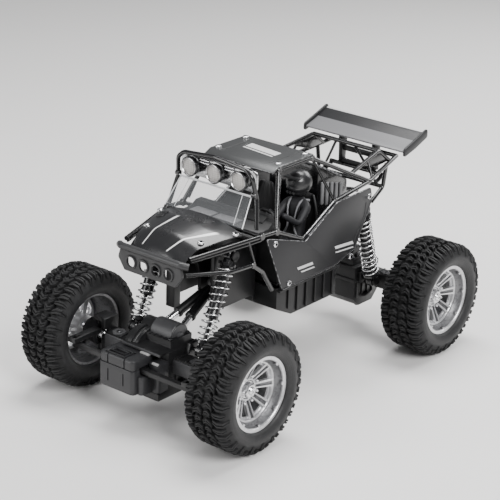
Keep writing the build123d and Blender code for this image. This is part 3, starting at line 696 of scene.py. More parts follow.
def axle_dressing(end, x_sign):
    """Seam flange, ribs, motor plate, pads and link sleeves moulded on or clipped to the housing."""
    x = x_sign

    def lump(x0, x1, *rest):
        return box(*span(x, x0, x1), *rest)

    parts = [lump(83.4, 112.6, s * 18.2 - 0.5, s * 18.2 + 0.5, 38.8, 41.2) for s in (1, -1)]
    parts += [lump(83.2, 84.2, -18.6, 18.6, 38.8, 41.2)]
    for s in (1, -1):
        parts += [lump(86 + 6.2 * i, 87.2 + 6.2 * i, *span(s, 18.2, 19.3), 27, 38.8)
                  for i in range(4)]
        parts += [lump(97.2, 107.0, *span(s, 21 + 6.5 * i, 22.2 + 6.5 * i), 34.2, 46.3)
                  for i in range(3)]
    for i in range(7):
        parts.append(lump(85.6, 106.4, -12 + 4 * i - 0.4, -12 + 4 * i + 0.4, 54.8, 55.5))
    parts.append(lump(104, 118.5 if end == "front" else 113, -15.5, 16.5, 49.0, 50.3))
    ribs = tidy(merge("ribs", *parts), BLACK_ABS, bevel=0.25)
    extras = [ribs]
    if end == "front":
        plates = [lump(107.0, 108.4, *span(s, 18.4, 40.6), 35.4, 44.6) for s in (1, -1)]
        plates.append(lump(117.6, 118.7, -15.6, 16.6, 48.8, 50.5))
        extras.append(tidy(merge("plates", *plates), GREY_ABS, bevel=0.3))
    can = revolve("can", [(-6.6, 0.02), (-6.6, 6.2), (-6, 7.2), (-5.4, 8.25), (11.4, 8.25),
                          (12.2, 7.4), (12.2, 3.2), (13.4, 2.6), (13.4, 0.02)], 48)
    moved(can, shift(x * MOTOR_X, 0, MOTOR_Z))
    extras.append(tidy(can, GREY_ABS if end == "front" else BLACK_ABS))
    for s in (1, -1):
        far, near = (x * 88, s * 7, 56), (x * 51.5, s * 1.2, 71.2)
        way = Vector(near) - Vector(far)
        spot_at = [tuple(Vector(far) + way * part) for part in (0.0, 0.30, 0.86)]
        extras.append(tidy(bar("rod_end", spot_at[0], spot_at[1], 2.45), BRIGHT))
        extras.append(tidy(bar("sleeve", spot_at[1], spot_at[2], 3.1), BLACK_ABS))
        collar = bar("collar", tuple(Vector(far) + way * 0.28), tuple(Vector(far) + way * 0.335),
                     3.6)
        extras.append(tidy(collar, BLACK_ABS))
        pad = revolve("pad", [(0, 0.02), (0, 5.2), (1.0, 4.7), (1.0, 2.6), (0.4, 2.2), (0.4, 0.02)],
                      6)
        extras.append(tidy(moved(pad, aim((x * 102, s * 33.5, 45.4), (0, 0, 1))), GREY_ABS,
                           bevel=0.2))
        ledge = revolve("ledge", [(0, 0.02), (0, 7.5), (1.4, 7.5), (1.4, 0.02)], 32)
        ledge.data.transform(Matrix.Diagonal((1.0, 1.0, 0.5, 1.0)))
        extras.append(tidy(moved(ledge, aim((x * 98, s * 17.6, 26.5), (0, 0, 1))), BLACK_ABS,
                           bevel=0.3))
    heads = [((x * px, s * py, 55.4), (0, 0, 1)) for px in (88, 104) for s,
             py in ((1, 12.6), (-1, 12.6))]
    heads += [((x * px, s * 15.2, 19.9), (0, 0, -1)) for px in (92, 108) for s in (1, -1)]
    heads += [((x * 102, s * 24.4, 34.9), (0, 0, -1)) for s in (1, -1)]
    heads += [((x * 102, s * 33.5, 45.8), (0, 0, 1)) for s in (1, -1)]
    if end == "rear":
        heads += [((x * 112.4, s * 14, z), (x, 0, 0)) for s in (1, -1) for z in (30, 45)]
    extras.append(screws("case_screws", CASE_HEAD, DARK_SCREW, heads))
    return fit(merge(f"{end}_axle_trim", *extras), f"{end}_axle", "black_plastic")


ENDS = (("front", 1), ("rear", -1))
SIDES = (("left", 1), ("right", -1))

for end, x_sign in ENDS:
    soften(f"{end}_axle_case", BLACK_ABS, 0.45)
    soften(f"{end}_axle_cover", BLACK_ABS, 0.4)
    axle_dressing(end, x_sign)


def differential_ring(x_sign):
    """The round gear housing with its bolt flange, standing proud of the box."""
    hoop = revolve("hoop", [(-17.4, 9), (-17.4, 15.2), (-16.6, 16.6), (-13.6, 16.9), (-13.6, 17.7),
                            (-10.6, 17.7), (-10.6, 16.9), (-9.2, 16.8), (-8.4, 15.8), (-8.4, 9)],
                   64)
    moved(hoop, shift(x_sign * AXLE_X, 0, HUB_Z))
    return tidy(hoop, BLACK_ABS, bevel=0.0)


for end, x_sign in ENDS:
    fit(differential_ring(x_sign), f"{end}_axle", "black_plastic").name = f"{end}_gear_housing"

# ---------------------------------------------------------------- steering case
# The box on the nose of the front axle holds the steering motor. It is two mouldings, a lid on a deep
# base, with slots in the face and a framed pad on the lid.


def rounded_box(name, x0, x1, y0, y1, z0, z1, corner, front_only=True, steps=6):
    """A block with its upright corners rounded, only the two at high x unless told otherwise."""
    outline = []
    corners = [(x1, y0, -90), (x1, y1, 0), (x0, y1, 90), (x0, y0, 180)]
    for index, (cx, cy, start) in enumerate(corners):
        if front_only and index > 1:
            outline.append((cx, cy))
            continue
        ox = cx - corner if cx == x1 else cx + corner
        oy = cy + corner if cy == y0 else cy - corner
        for k in range(steps + 1):
            t = math.radians(start + 90 * k / steps)
            outline.append((ox + corner * math.cos(t), oy + corner * math.sin(t)))
    count = len(outline)
    points = [(x, y, z) for z in (z0, z1) for x, y in outline]
    faces = [tuple(range(count)), tuple(range(count, 2 * count))]
    faces += weave(2, count, closed=True)
    return tidy(new_piece(name, points, faces))


def carve(piece, *cutters):
    """Cuts the cutters out of the piece."""
    for cutter in cutters:
        change(piece, "BOOLEAN", operation="DIFFERENCE", object=cutter, solver="EXACT")
        bpy.data.objects.remove(cutter)
    return piece


CASE_LOW, CASE_HIGH = (v * 1000 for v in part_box("steering_case"))
CASE_GREY = moulded("steering_case_grey", (0.019, 0.019, 0.0205), 0.34)
GREY_LIGHT = moulded("pale_tab", (0.30, 0.30, 0.30), 0.38)


def steering_case():
    x0, y0, z0 = CASE_LOW
    x1, y1, z1 = CASE_HIGH
    seam = z0 + 16.6
    rod_room = (120.6, 128.4, -40, 40, 37.5, 42.5)
    base = rounded_box("base", x0, x1, y0, y1, z0, seam - 0.25, 3)
    lid = rounded_box("lid", x0, x1 - 0.3, y0 + 0.3, y1 - 0.3, seam - 0.6, z1 - 1.2, 3)
    ease(base, 0.6)
    ease(lid, 1.2, segments=3)
    slots = [box(x1 - 0.8, x1 + 1, y - 0.45, y + 0.45, z0 + 4.5, z0 + 13) for y in (-12.6, 0.4)]
    carve(base, *slots, box(*rod_room))
    slots = [box(x1 - 1.2, x1 + 1, y - 0.5, y + 0.5, seam, z1 + 1) for y in (-13, 1)]
    carve(lid, *slots, box(*rod_room), box(122.4, 133.2, -16.6, 0.6, z1 - 1.8, z1 + 1))
    parts = [base, lid]
    frames = []
    for inset, rise in ((0.0, 0.55), (2.0, 0.9), (4.2, 0.5)):
        a0, a1, b0, b1 = 123.4 + inset, 132.2 - inset, -15.6 + inset, -0.4 - inset
        if a1 - a0 > 1.5:
            for area in ((a0, a1, b0, b0 + 0.7), (a0, a1, b1 - 0.7, b1), (a0, a0 + 0.7, b0, b1),
                         (a1 - 0.7, a1, b0, b1)):
                frames.append(box(*area, z1 - 2, z1 - 1 + rise))
    pillar = rounded_box("pillar", 112.4, 130.5, y1 - 2, y1 + 4.2, z0, 37.2, 2.4)
    parts.append(ease(pillar, 0.6))
    shoulder = rounded_box("shoulder", 108, 121.2, 9.2, 18.3, 24.5, 44.5, 2.0)
    parts.append(ease(shoulder, 0.7))
    raised = tidy(merge("raised", *frames), bevel=0.15)
    body = tidy(merge("case", *parts, raised), CASE_GREY, smooth=30)
    tabs = tidy(merge("tabs", box(116.4, 120.2, 1.2, 8.2, z1 - 1.6, z1 - 0.3),
                      box(119.6, 121.4, 12.4, 17.4, 43.8, 45.2)), GREY_LIGHT, bevel=0.3)
    return merge("steering_housing", body, tabs)


fit(steering_case(), "front_axle", "black_plastic", "steering_case")

# ---------------------------------------------------------------- gears, shafts and motors
# Nylon gears on ground steel shafts, and two small can motors, all shut inside the housings.
NYLON = moulded("gear_nylon", (0.62, 0.60, 0.54), 0.45, grain=1.5)
CAN = bright_metal("motor_can", (0.55, 0.55, 0.56), 0.3)
paint(NYLON, "front_motor_pinion", "rear_motor_pinion", "steering_gear")
paint(CAN, "front_motors", "rear_motor")
paint(BRIGHT, "front_drive_shaft", "rear_drive_shaft", "front_pivot_ball", "rear_pivot_ball",
      "front_left_stub_axle", "front_right_stub_axle")

# ---------------------------------------------------------------- steering knuckles and tie rod
# Black knuckles turn on the kingpins between the ears of the axle. A bar with a rack on its back joins
# their arms through the steering case.
for node in ("knuckle_left", "knuckle_right", "tie_rod", "front_tower", "rear_tower"):
    soften(node, BLACK_ABS, 0.3)

# ---------------------------------------------------------------- shocks
# Four coil-over shocks: a turned black body with adjuster rings, a polished rod, and a bright coil of
# spring wire held between two flanged seats.
SHOCK_BLACK = Finish("shock_black", (0.010, 0.010, 0.011), 0.22, Coat_Weight=0.4,
                     Coat_Roughness=0.1)
uneven(SHOCK_BLACK, 0.18, 0.16, 0.8)
SHOCK_Y = 28.0
SHOCK_ENDS = {"front": ((66.0, 106.0), (92.0, 48.0)), "rear": ((-74.0, 100.0), (-91.0, 42.0))}
SEAT_INSET = 7.0
SPRING_GAP = 0.8             # from each seat to the middle of the wire


def coil_builder():
    """Winds a wire from bottom to top along Z, its end turns closed up."""
    coil = Builder("spring_coil", Turns=11.5, Height=0.048, Radius=0.0053, Wire=0.00062)
    steps = coil.given("Turns") * 30.0       # points in one turn
    line = coil.add("GeometryNodeMeshLine", None, Count=steps, Offset=(0, 0, 0))
    share = coil.add("GeometryNodeInputIndex") / (steps - 1.0)
    turn = share * coil.given("Turns") * (2 * math.pi)
    rise = share.step(0.0, 1.0) * 0.16 + share * 0.84
    x = turn.math("COSINE") * coil.given("Radius")
    y = turn.math("SINE") * coil.given("Radius")
    spot_on = coil.add("ShaderNodeCombineXYZ", None, x, y, rise * coil.given("Height"))
    placed = coil.add("GeometryNodeSetPosition", None, line, Position=spot_on)
    curve = coil.add("GeometryNodeMeshToCurve", None, placed)
    section = coil.add("GeometryNodeCurvePrimitiveCircle", None, Resolution=10,
                       Radius=coil.given("Wire"))
    wire = coil.add("GeometryNodeCurveToMesh", None, curve, section, Fill_Caps=True)
    return coil.finish(coil.add("GeometryNodeSetShadeSmooth", None, wire))


COIL = coil_builder()


def shock(end, side):
    top, foot = SHOCK_ENDS[end]
    y = SHOCK_Y if side == "left" else -SHOCK_Y
    top, foot = Vector((top[0], y, top[1])), Vector((foot[0], y, foot[1]))
    length = (foot - top).length
    down = (foot - top).normalized()
    body = revolve("body", [(1.5, 0.02), (1.5, 3.2), (5.0, 3.4), (5.0, 6.0),
                            (SEAT_INSET - 0.2, 6.0), (SEAT_INSET - 0.2, 4.4), (9, 4.3), (9, 3.9),
                            (10, 3.9), (10, 4.35), (11, 4.35), (11, 3.9), (12, 3.9), (12, 4.35),
                            (13, 4.35), (13, 4.0), (length * 0.6, 4.0), (length * 0.61, 4.3),
                            (length * 0.66 - 0.6, 4.3), (length * 0.66, 3.6),
                            (length * 0.66, 0.02)], 28)
    eye = revolve("eye", [(-2.4, 1.4), (-2.4, 3.6), (-2.0, 4.1), (2.0, 4.1), (2.4, 3.6),
                          (2.4, 1.4)], 28)
    moved(body, aim(top, down))
    moved(eye, Matrix.Translation(top * 0.001))
    fit(tidy(merge(f"{end}_{side}_shock_can", body, eye), SHOCK_BLACK, smooth=30),
        f"{end}_{side}_shock", "shock_black", f"{end}_{side}_shock_body")
    rod = revolve("rod", [(length * 0.44, 0.02), (length * 0.44, 1.4), (length - 8.6, 1.4),
                          (length - 8.4, 4.2), (length - SEAT_INSET, 4.2),
                          (length - SEAT_INSET, 6.0), (length - 5.2, 6.0), (length - 5.0, 5.2),
                          (length - 4, 3.0), (length - 2.9, 2.6), (length - 2.9, 0.02)], 28)
    eye = revolve("eye", [(-2.4, 2.8), (-2.4, 3.8), (-2.0, 4.15), (2.0, 4.15), (2.4, 3.8),
                          (2.4, 2.8)], 28)
    moved(rod, aim(top, down))
    moved(eye, Matrix.Translation(foot * 0.001))
    fit(tidy(merge(f"{end}_{side}_shock_end", rod, eye), SHOCK_BLACK, smooth=30),
        f"{end}_{side}_shock_rod", "shock_steel", f"{end}_{side}_shock_rod")
    height = length - 2 * (SEAT_INSET + SPRING_GAP)
    spring = grow(new_piece(f"{end}_{side}_coil", [(0, 0, 0)]), COIL, BRIGHT, Height=height * 0.001)
    turn = Vector((0, 0, 1)).rotation_difference(down).to_matrix().to_4x4()
    moved(spring, Matrix.Translation((top + down * (SEAT_INSET + SPRING_GAP)) * 0.001) @ turn)
    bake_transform(spring)
    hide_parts(f"{end}_{side}_spring")


for end in ("front", "rear"):
    for side in ("left", "right"):
        shock(end, side)

# ---------------------------------------------------------------- tyres
# Four soft rubber tyres, each moulded in one piece over a foam ring. Smooth side walls run up to deep,
# hooked blocks that interlock across the tread and wrap over the shoulders.


def ring_builder():
    """Copies the given mesh Count times round the Y axis."""
    ring = Builder("ring_of_copies", Count=8, Start=0.0)
    line = ring.add("GeometryNodeMeshLine", None, Count=ring.given("Count"), Offset=(0, 0, 0))
    turn = ring.add("GeometryNodeInputIndex") / ring.given("Count") * (2 * math.pi) + ring.given("Start")
    angles = ring.add("ShaderNodeCombineXYZ", None, 0.0, turn, 0.0)
    copies = ring.add("GeometryNodeInstanceOnPoints", None, line, Instance=ring.given("Geometry"),
                      Rotation=angles)
    return ring.finish(copies)


RING = ring_builder()

TYRE_LOW, TYRE_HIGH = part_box("front_left_tyre")
TYRE_R = (TYRE_HIGH.z - TYRE_LOW.z) * 500
TYRE_HALF = (TYRE_HIGH.y - TYRE_LOW.y) * 500
WHEEL_Y = (TYRE_LOW.y + TYRE_HIGH.y) * 500
BEAD_R = 24.6
TREAD_FLAT = 11.5            # half the width of the flat tread
WALL_R = 32.5               # where the shoulder blocks die out on the side wall
SHOULDER_RUN = 9.0
TREAD_PITCHES = 22
BLOCK_DEPTH = 3.0


def tread_point(along, around, depth):
    """along runs from the tread's middle over the shoulder, around is a distance round the tyre."""
    side = -1 if along < 0 else 1
    over = max(0.0, abs(along) - TREAD_FLAT) / SHOULDER_RUN * math.pi / 2
    wide, tall = TYRE_HALF - TREAD_FLAT, TYRE_R - WALL_R
    width = min(abs(along), TREAD_FLAT) + wide * math.sin(over)
    radius = WALL_R + tall * math.cos(over)
    out = Vector((math.sin(over) / wide, math.cos(over) / tall)).normalized()
    width, radius = width - out.x * depth, radius - out.y * depth
    turn = around / TYRE_R
    return (radius * math.sin(turn), side * width, radius * math.cos(turn))


def tread_block(stations):
    """A curved block of (along, around, half width) stations, with a narrow sipe down its middle."""
    foot = BLOCK_DEPTH + 0.4
    rise = [(-1.0, foot), (-0.86, 0.25), (-0.74, 0.0), (-0.2, 0.0), (-0.12, 1.0), (0.12, 1.0),
            (0.2, 0.0), (0.74, 0.0), (0.86, 0.25), (1.0, foot)]
    points, faces = [], []
    size, last = len(rise), len(stations) - 1
    for i, (along, around, half) in enumerate(stations):
        fade = 0.25 if i in (0, last) else 0.0
        points += [tread_point(along, around + half * across, min(depth + fade, foot)) for across,
                   depth in rise]
    for i in range(last):
        faces += [(i * size + j, i * size + j + 1, (i + 1) * size + j + 1, (i + 1) * size + j)
                  for j in range(size - 1)]
        faces.append((i * size, (i + 1) * size, (i + 2) * size - 1, (i + 1) * size - 1))
    faces += [tuple(range(size)), tuple(range(last * size, (last + 1) * size))]
    return points, faces


def tread_cell():
    """One pitch of the tread: shoulder blades, long and short, and the hooked blocks between."""
    pitch = 2 * math.pi * TYRE_R / TREAD_PITCHES
    shapes = [
        [(8.4, 0.2, 1.7), (11.5, 1.6, 2.3), (15.5, 1.9, 2.1), (20.2, 0.6, 1.2)],
        [(7.6, 6.6, 1.0), (11.0, 7.2, 1.9), (14.5, 7.4, 1.8), (17.6, 6.7, 1.1)],
        [(0.7, 3.0, 1.5), (3.4, 1.0, 1.8), (6.6, 2.6, 1.6), (7.4, 4.6, 1.0)],
        [(1.4, 7.4, 1.3), (4.0, 6.6, 1.8), (6.0, 8.6, 1.4)],
    ]
    points, faces = [], []
    for side in (1, -1):
        for shape in shapes:
            shift = 0.0 if side > 0 else pitch / 2
            block, skin = tread_block([(side * s, a + shift, w) for s, a, w in shape])
            faces += [tuple(i + len(points) for i in face) for face in skin]
            points += block
    return new_piece("tread_cell", points, faces)


def tyre_rubber():
    rubber = Finish("tyre_rubber", (0.012, 0.012, 0.0125), 0.66, Specular_IOR_Level=0.4)
    local = rubber.local()
    x, _, z = rubber.split(local)
    radius = (x * x + z * z).math("SQRT")
    wall = 1 - radius.step(WALL_R - 1.5, WALL_R + 1.5)
    dust = rubber.noise(local, 0.35, 6.0, 0.65)
    rubber.set(Base_Color=rubber.mix(dust.step(0.4, 0.75) * 0.5 + wall * 0.35,
                                     (0.006, 0.006, 0.0065), (0.022, 0.022, 0.023)),
               Roughness=0.66 - wall * 0.2 + dust * 0.08)
    rings = (radius * 5.2).math("SINE") * wall * 0.12
    return rubber.bump(rubber.noise(local, 4.0, 5.0) * 0.5 + rings, 0.12)


RUBBER = tyre_rubber()


def make_tyre():
    taper = 1.0 / SHOULDER_RUN
    stations = (-20.5, -18, -16, -14, -12, -8, 0, 8, 12, 14, 16, 18, 20.5)
    outer = [tread_point(s, 0, BLOCK_DEPTH * (1 - 0.75 * max(0.0, abs(s) - TREAD_FLAT) * taper))
             for s in stations]
    outline = [(p[1], p[2]) for p in outer]
    right_wall = [(TYRE_HALF, 30.5), (TYRE_HALF - 0.3, 28.5), (TYRE_HALF - 1.2, 26.4),
                  (TYRE_HALF - 2.2, BEAD_R + 0.5), (TYRE_HALF - 3.0, BEAD_R)]
    left_wall = [(-a, r) for a, r in reversed(right_wall)]
    carcass = revolve("carcass", outline + right_wall + left_wall, 120)
    blocks = grow(tidy(tread_cell()), RING, RUBBER, Count=TREAD_PITCHES)
    return tidy(merge("tyre", carcass, blocks), RUBBER, smooth=32)


def settle(piece, move):
    """Puts the piece's place in its mesh, and keeps where each point lay in an attribute, in millimetres."""
    mesh = piece.data
    local = mesh.attributes.new("local", "FLOAT_VECTOR", "POINT")
    for point, vertex in zip(local.data, mesh.vertices):
        point.vector = vertex.co * 1000
    mesh.transform(move)
    return piece


def wheel_set(pattern, name, slot, stands_for):
    """Puts a wheel piece, drawn about the origin, on all four wheels with its outer face outwards."""
    for end, x_sign in ENDS:
        for side, y_sign in SIDES:
            turn = Matrix.Rotation(0 if y_sign > 0 else math.pi, 4, "Z")
            place = shift(x_sign * AXLE_X, y_sign * WHEEL_Y, HUB_Z) @ turn
            piece = linked(f"{end}_{side}_{name}", pattern.data.copy())
            body = f"front_{side}_wheel" if end == "front" else "rear_wheels"
            fit(settle(piece, place), body, slot, *stands_for(end, side))
    bpy.data.objects.remove(pattern)


wheel_set(make_tyre(), "tyre_skin", "tyre_rubber",
          lambda end, side: ["rear_tyres" if end == "rear" else f"front_{side}_tyre"])

# ---------------------------------------------------------------- rims
# Dished eight-spoke wheels, moulded in ABS and finished in satin silver. Each spoke has a groove
# between two ribs, and small tabs stand inside the lip in line with the spokes.
LIP = 13.7
SPOKES = 8
HUB_FACE = 2.2


def silver_paint():
    silver = Finish("silver_rim", (0.62, 0.62, 0.63), 0.3, 0.85)
    local = silver.local()
    x, y, z = silver.split(local)
    radius = (x * x + z * z).math("SQRT")
    # The well behind the lip and the marked grooves and sockets are darkened as painted shade; grime adds
    # real dirt.
    well_shade = (1 - y.step(12.0, 13.2)) * radius.step(19.0, 19.8)
    flake = silver.noise(local, 9.0, 3.0)
    grime = silver.noise(local, 0.5, 5.0).step(0.45, 0.7)
    shade = well_shade * 0.8 + silver.mask("pit") * 0.9 + grime * 0.12
    silver.set(Base_Color=silver.mix(shade.math("MINIMUM", 1.0), (0.66, 0.66, 0.67),
                                     (0.10, 0.10, 0.105)),
               Roughness=0.27 + flake * 0.1 + well_shade * 0.12 + grime * 0.1)
    return silver.bump(flake, 0.03)


SILVER = silver_paint()


def strip(name, stations, section):
    """A bar through (position, half width, normal) stations with a cross section of (across, rise)."""
    points = []
    size, last = len(section), len(stations) - 1
    for centre, half, up in stations:
        points += [tuple(Vector(centre) + Vector((0, 0, 1)) * half * across + Vector(up) * rise)
                   for across, rise in section]
    faces = weave(len(stations), size, closed=True)
    faces += [tuple(range(size)), tuple(range(last * size, (last + 1) * size))]
    # The groove bottoms are marked for painted shade.
    groove_shade = [1.0 if -1 < rise < -0.5 else 0.0 for across, rise in section]
    return mark(new_piece(name, points, faces), "pit", groove_shade * len(stations))


def make_rim():
    lip = [(LIP, 24.5), (LIP, 22.5), (LIP - 0.5, 22.1), (LIP - 1.2, 22.0), (LIP - 3.2, 21.4),
           (8.6, 20.2), (8.2, 19.9), (8.0, 18.7), (7.4, 18.3), (5.4, 18.3), (5.4, 20.5),
           (-12.6, 22.6), (-13, 23), (-13, 24.6), (13.2, 24.6)]
    barrel = revolve("barrel", lip, 96)
    ledge = revolve("ledge", [(5.6, 18.6), (5.6, 17.2), (4.6, 17.0), (4.6, 18.6)], 96)
    groove = [(-1, -2.6), (-1, -0.25), (-0.9, 0), (-0.5, 0), (-0.4, -0.9), (0.4, -0.9), (0.5, 0),
              (0.9, 0), (1, -0.25), (1, -2.6)]
    lean = (-0.45, 0.9, 0)
    spoke = strip("spoke", [((6.4, 2.6, 0), 2.0, lean), ((11, 4.6, 0), 2.15, lean),
                            ((18.7, 8.1, 0), 2.75, lean)], groove)
    spokes = grow(tidy(spoke), RING, SILVER, Count=SPOKES)
    tab = strip("tab", [((20.9, LIP - 1.2, 0), 1.0, (0, 1, 0)),
                        ((22.4, LIP - 1.2, 0), 1.0, (0, 1, 0))],
                [(-1, -2), (-1, 0.9), (1, 0.9), (1, -2)])
    tabs = grow(tidy(tab, bevel=0.25), RING, SILVER, Count=SPOKES)
    knob = revolve("knob", [(2.0, 0.02), (2.0, 0.95), (4.3, 0.95), (4.6, 0.6), (4.6, 0.02)], 12)
    moved(knob, shift(8.8, 0, 0))
    knobs = grow(knob, RING, SILVER, Count=SPOKES, Start=math.pi / SPOKES)
    hub = revolve("hub", [(-6, 3.0), (-6, 7.5), (1.8, 7.9), (2.9, 7.6), (3.4, 7.0), (3.4, 6.3),
                          (3.0, 6.0), (1.2, 5.9), (1.2, 4.9), (HUB_FACE, 4.8), (HUB_FACE, 3.0)], 48)
    return tidy(merge("rim", barrel, ledge, spokes, tabs, knobs, hub), SILVER, smooth=30)


wheel_set(make_rim(), "rim_casting", "silver_rim", lambda end, side: [f"{end}_{side}_rim"])

# ---------------------------------------------------------------- wheel nuts
# A plated hexagon nut with a flange holds each wheel on the threaded end of its axle, which shows in
# the middle of the nut.


def make_nut():
    flats = [(4.95 * math.cos(math.pi * k / 3), 4.95 * math.sin(math.pi * k / 3)) for k in range(6)]
    levels = [(HUB_FACE + 0.4, 1.0), (HUB_FACE + 3.5, 1.0), (HUB_FACE + 3.9, 0.88),
              (HUB_FACE + 3.9, 0.5)]
    points = [(x * scale, a, z * scale) for a, scale in levels for x, z in flats]
    faces = weave(len(levels), 6, closed=True)
    faces += [tuple(range(6)), tuple(range(18, 24))]
    body = tidy(new_piece("nut_body", points, faces))
    flange = revolve("flange", [(HUB_FACE, 3.1), (HUB_FACE, 5.6), (HUB_FACE + 0.6, 5.6),
                                (HUB_FACE + 0.6, 3.1)], 32)
    tip_at = HUB_FACE + 3.0
    tip = revolve("tip", [(tip_at, 0.02), (tip_at, 2.6), (tip_at + 1.6, 2.6), (tip_at + 2.1, 2.1),
                          (tip_at + 2.1, 1.2), (tip_at + 1.3, 0.9), (tip_at + 1.3, 0.02)], 24)
    return tidy(merge("nut", body, flange, tip), BRIGHT)


wheel_set(make_nut(), "wheel_nut", "bright_steel", lambda end, side: [])

# ---------------------------------------------------------------- roll cage
# The cage is moulded as round bars in glossy black plastic: two side frames with double rails along
# the waist, and cross bars between them. Small clips join the bars where they meet.
CAGE_BLACK = Finish("cage_gloss", (0.004, 0.004, 0.0045), 0.2, Coat_Weight=0.5, Coat_Roughness=0.06)
uneven(CAGE_BLACK, 0.17, 0.16, 0.4, 5.0)
CAGE_BLACK.bump(CAGE_BLACK.noise(CAGE_BLACK.place(), 0.9, 3.0), 0.05)
# Bright finish for two thin lines beside the waist rail: painted highlights on the black rail.
RAIL_GLINT = bright_metal("door_rail", (0.62, 0.62, 0.63), 0.26)
CAGE_Y = 39.8
TUBE = 1.5
ROOF_Z = 152.5
ROOF_EDGE = 28.0


def tubes_builder():
    """Sweeps a round section along every line of the mesh, with its bends rounded."""
    tubes = Builder("bent_tubes", Radius=0.0015, Bend=0.004)
    line = tubes.add("GeometryNodeMeshToCurve", None, tubes.given("Geometry"))
    soft = tubes.add("GeometryNodeFilletCurve", {"mode": "POLY"}, line, Count=6,
                     Radius=tubes.given("Bend"), Limit_Radius=True)
    section = tubes.add("GeometryNodeCurvePrimitiveCircle", None, Resolution=14,
                        Radius=tubes.given("Radius"))
    swept = tubes.add("GeometryNodeCurveToMesh", None, soft, section, Fill_Caps=True)
    return tubes.finish(tubes.add("GeometryNodeSetShadeSmooth", None, swept))


TUBES = tubes_builder()
BEND_ANGLE = 50.0             # sharper than any step round a bend, so only the cut ends stay crisp


def bent_tubes(name, paths, radius, bend, finish):
    points, edges = [], []
    for path in paths:
        edges += [(len(points) + i, len(points) + i + 1) for i in range(len(path) - 1)]
        points += path
    piece = grow(new_piece(name, points, (), edges), TUBES, finish, Radius=radius * 0.001,
                 Bend=bend * 0.001)
    piece.data.set_sharp_from_angle(angle=math.radians(BEND_ANGLE))
    return piece


def mirrored(paths):
    return [[(x, -y, z) for x, y, z in path] for path in paths]


def cage_side(side):
    front_base, pillar_base = (50, CAGE_Y, 117), (35, CAGE_Y, 116)
    roof_front = (20, ROOF_EDGE, ROOF_Z - TUBE - 0.1)
    roof_rear = (-14.6, ROOF_EDGE, ROOF_Z - TUBE - 0.1)
    dip, waist, haunch, tail = (7, CAGE_Y, 103.5), (-26, CAGE_Y, 121), (-70, 36, 123), (-112.7, 28,
                                                                                        129.3)
    main = [[roof_front, roof_rear, haunch, tail], [roof_front, pillar_base],
            [pillar_base, dip, waist, haunch], [(103.5, 26.5, 113), front_base, pillar_base],
            [(106, 25.5, 103), (78, 38, 100.6), (58, CAGE_Y, 100), (48, CAGE_Y, 92.6),
             (37.5, CAGE_Y, 77)], [(-52, ROOF_EDGE + 5, 132), (-90, ROOF_EDGE, 138),
                                   (-103, 29, 128)], [(-98, 30, 127.3), (-98, 28, 110),
                                                      (-84, 29, 103)], ]
    thin = [
        [roof_rear, waist],
        [(60, 37.5, 115.8), (56, CAGE_Y, 100)],
        [(-75.5, 30, 135.3), (-74, 35.4, 123.5)],
        [(32.4, 36.9, 119.5), (20.6, 30.3, 149)],
        [(102, 26.5, 110.9), (62, 37.2, 113.6), (50, CAGE_Y - 0.4, 114.4)],
    ]
    if side == "right":
        main, thin = mirrored(main), mirrored(thin)
    y = 1 if side == "left" else -1
    # Two thin bright lines along the waist rail stand for its highlights: painted highlights.
    rails = [[(4.6, y * (CAGE_Y + 0.9), 106.4), (-24.8, y * (CAGE_Y + 0.9), 122.0)],
             [(2.4, y * (CAGE_Y + 1.2), 105.2), (-26.0, y * (CAGE_Y + 1.2), 120.2)]]
    clips = []
    for x, half_y, z, r in ((50, CAGE_Y, 117, 2.5), (35, CAGE_Y, 116, 2.5), (-26, CAGE_Y, 121, 2.3),
                            (20, ROOF_EDGE, 150.9, 2.2), (-14.6, ROOF_EDGE, 150.9, 2.2),
                            (58, CAGE_Y, 100, 2.2)):
        clips.append(bar("clip", (x, y * (half_y - 1.6), z), (x, y * (half_y + 1.5), z), r, 16,
                         0.4))
    joined = tidy(merge("clips", *clips), CAGE_BLACK)
    gusset = slab("gusset", [(-68, 133.6), (-90, 137.4), (-98, 131.5), (-100, 128.4), (-86, 127.6)],
                  *span(y, 27.9, 29.2))
    tidy(gusset, CAGE_BLACK, bevel=0.3)
    return merge(f"cage_{side}_bars", bent_tubes("main", main, TUBE, 4.5, CAGE_BLACK),
                 bent_tubes("thin", thin, 0.95, 2.0, CAGE_BLACK),
                 bent_tubes("rails", rails, 0.42, 1, RAIL_GLINT), joined, gusset)


for side in ("left", "right"):
    fit(cage_side(side), "chassis", "black_plastic", f"cage_{side}")


def cross_bars():
    inner = ROOF_EDGE
    paths = [[(x, -y, z), (x, y, z)] for x, y, z in ((20, inner, 150.9), (-14.6, inner, 150.9),
                                                     (50, CAGE_Y, 117), (-90, inner, 138),
                                                     (-112, inner, 129.3), (-98, inner, 110))]
    paths += [[(-98, s * 22, 111.8), (-106, s * 22, 115.3)] for s in (1, -1)]
    paths.append([(-106, -24, 115.3), (-106, 24, 115.3)])
    braces = [[(-97, 24, 110.5), (-90, 8, 137.6)], [(-97, -24, 110.5), (-90, -8, 137.6)]]
    return merge("cage_cross_bars", bent_tubes("bars", paths, TUBE, 1, CAGE_BLACK),
                 bent_tubes("braces", braces, 0.95, 1, CAGE_BLACK))


fit(cross_bars(), "chassis", "black_plastic", "cage_cross_tubes")

# ---------------------------------------------------------------- alloy panels
# Two door panels and the roof are stamped from thin aluminium, painted satin black with a fine pebble
# grain. Each has rounded corners and a turned edge. Pale slanted patches laid on them are painted
# highlights, and the roof's alloy is made paler as painted light.
PANEL_Y = 41.4
PANEL_THICK = 1.2


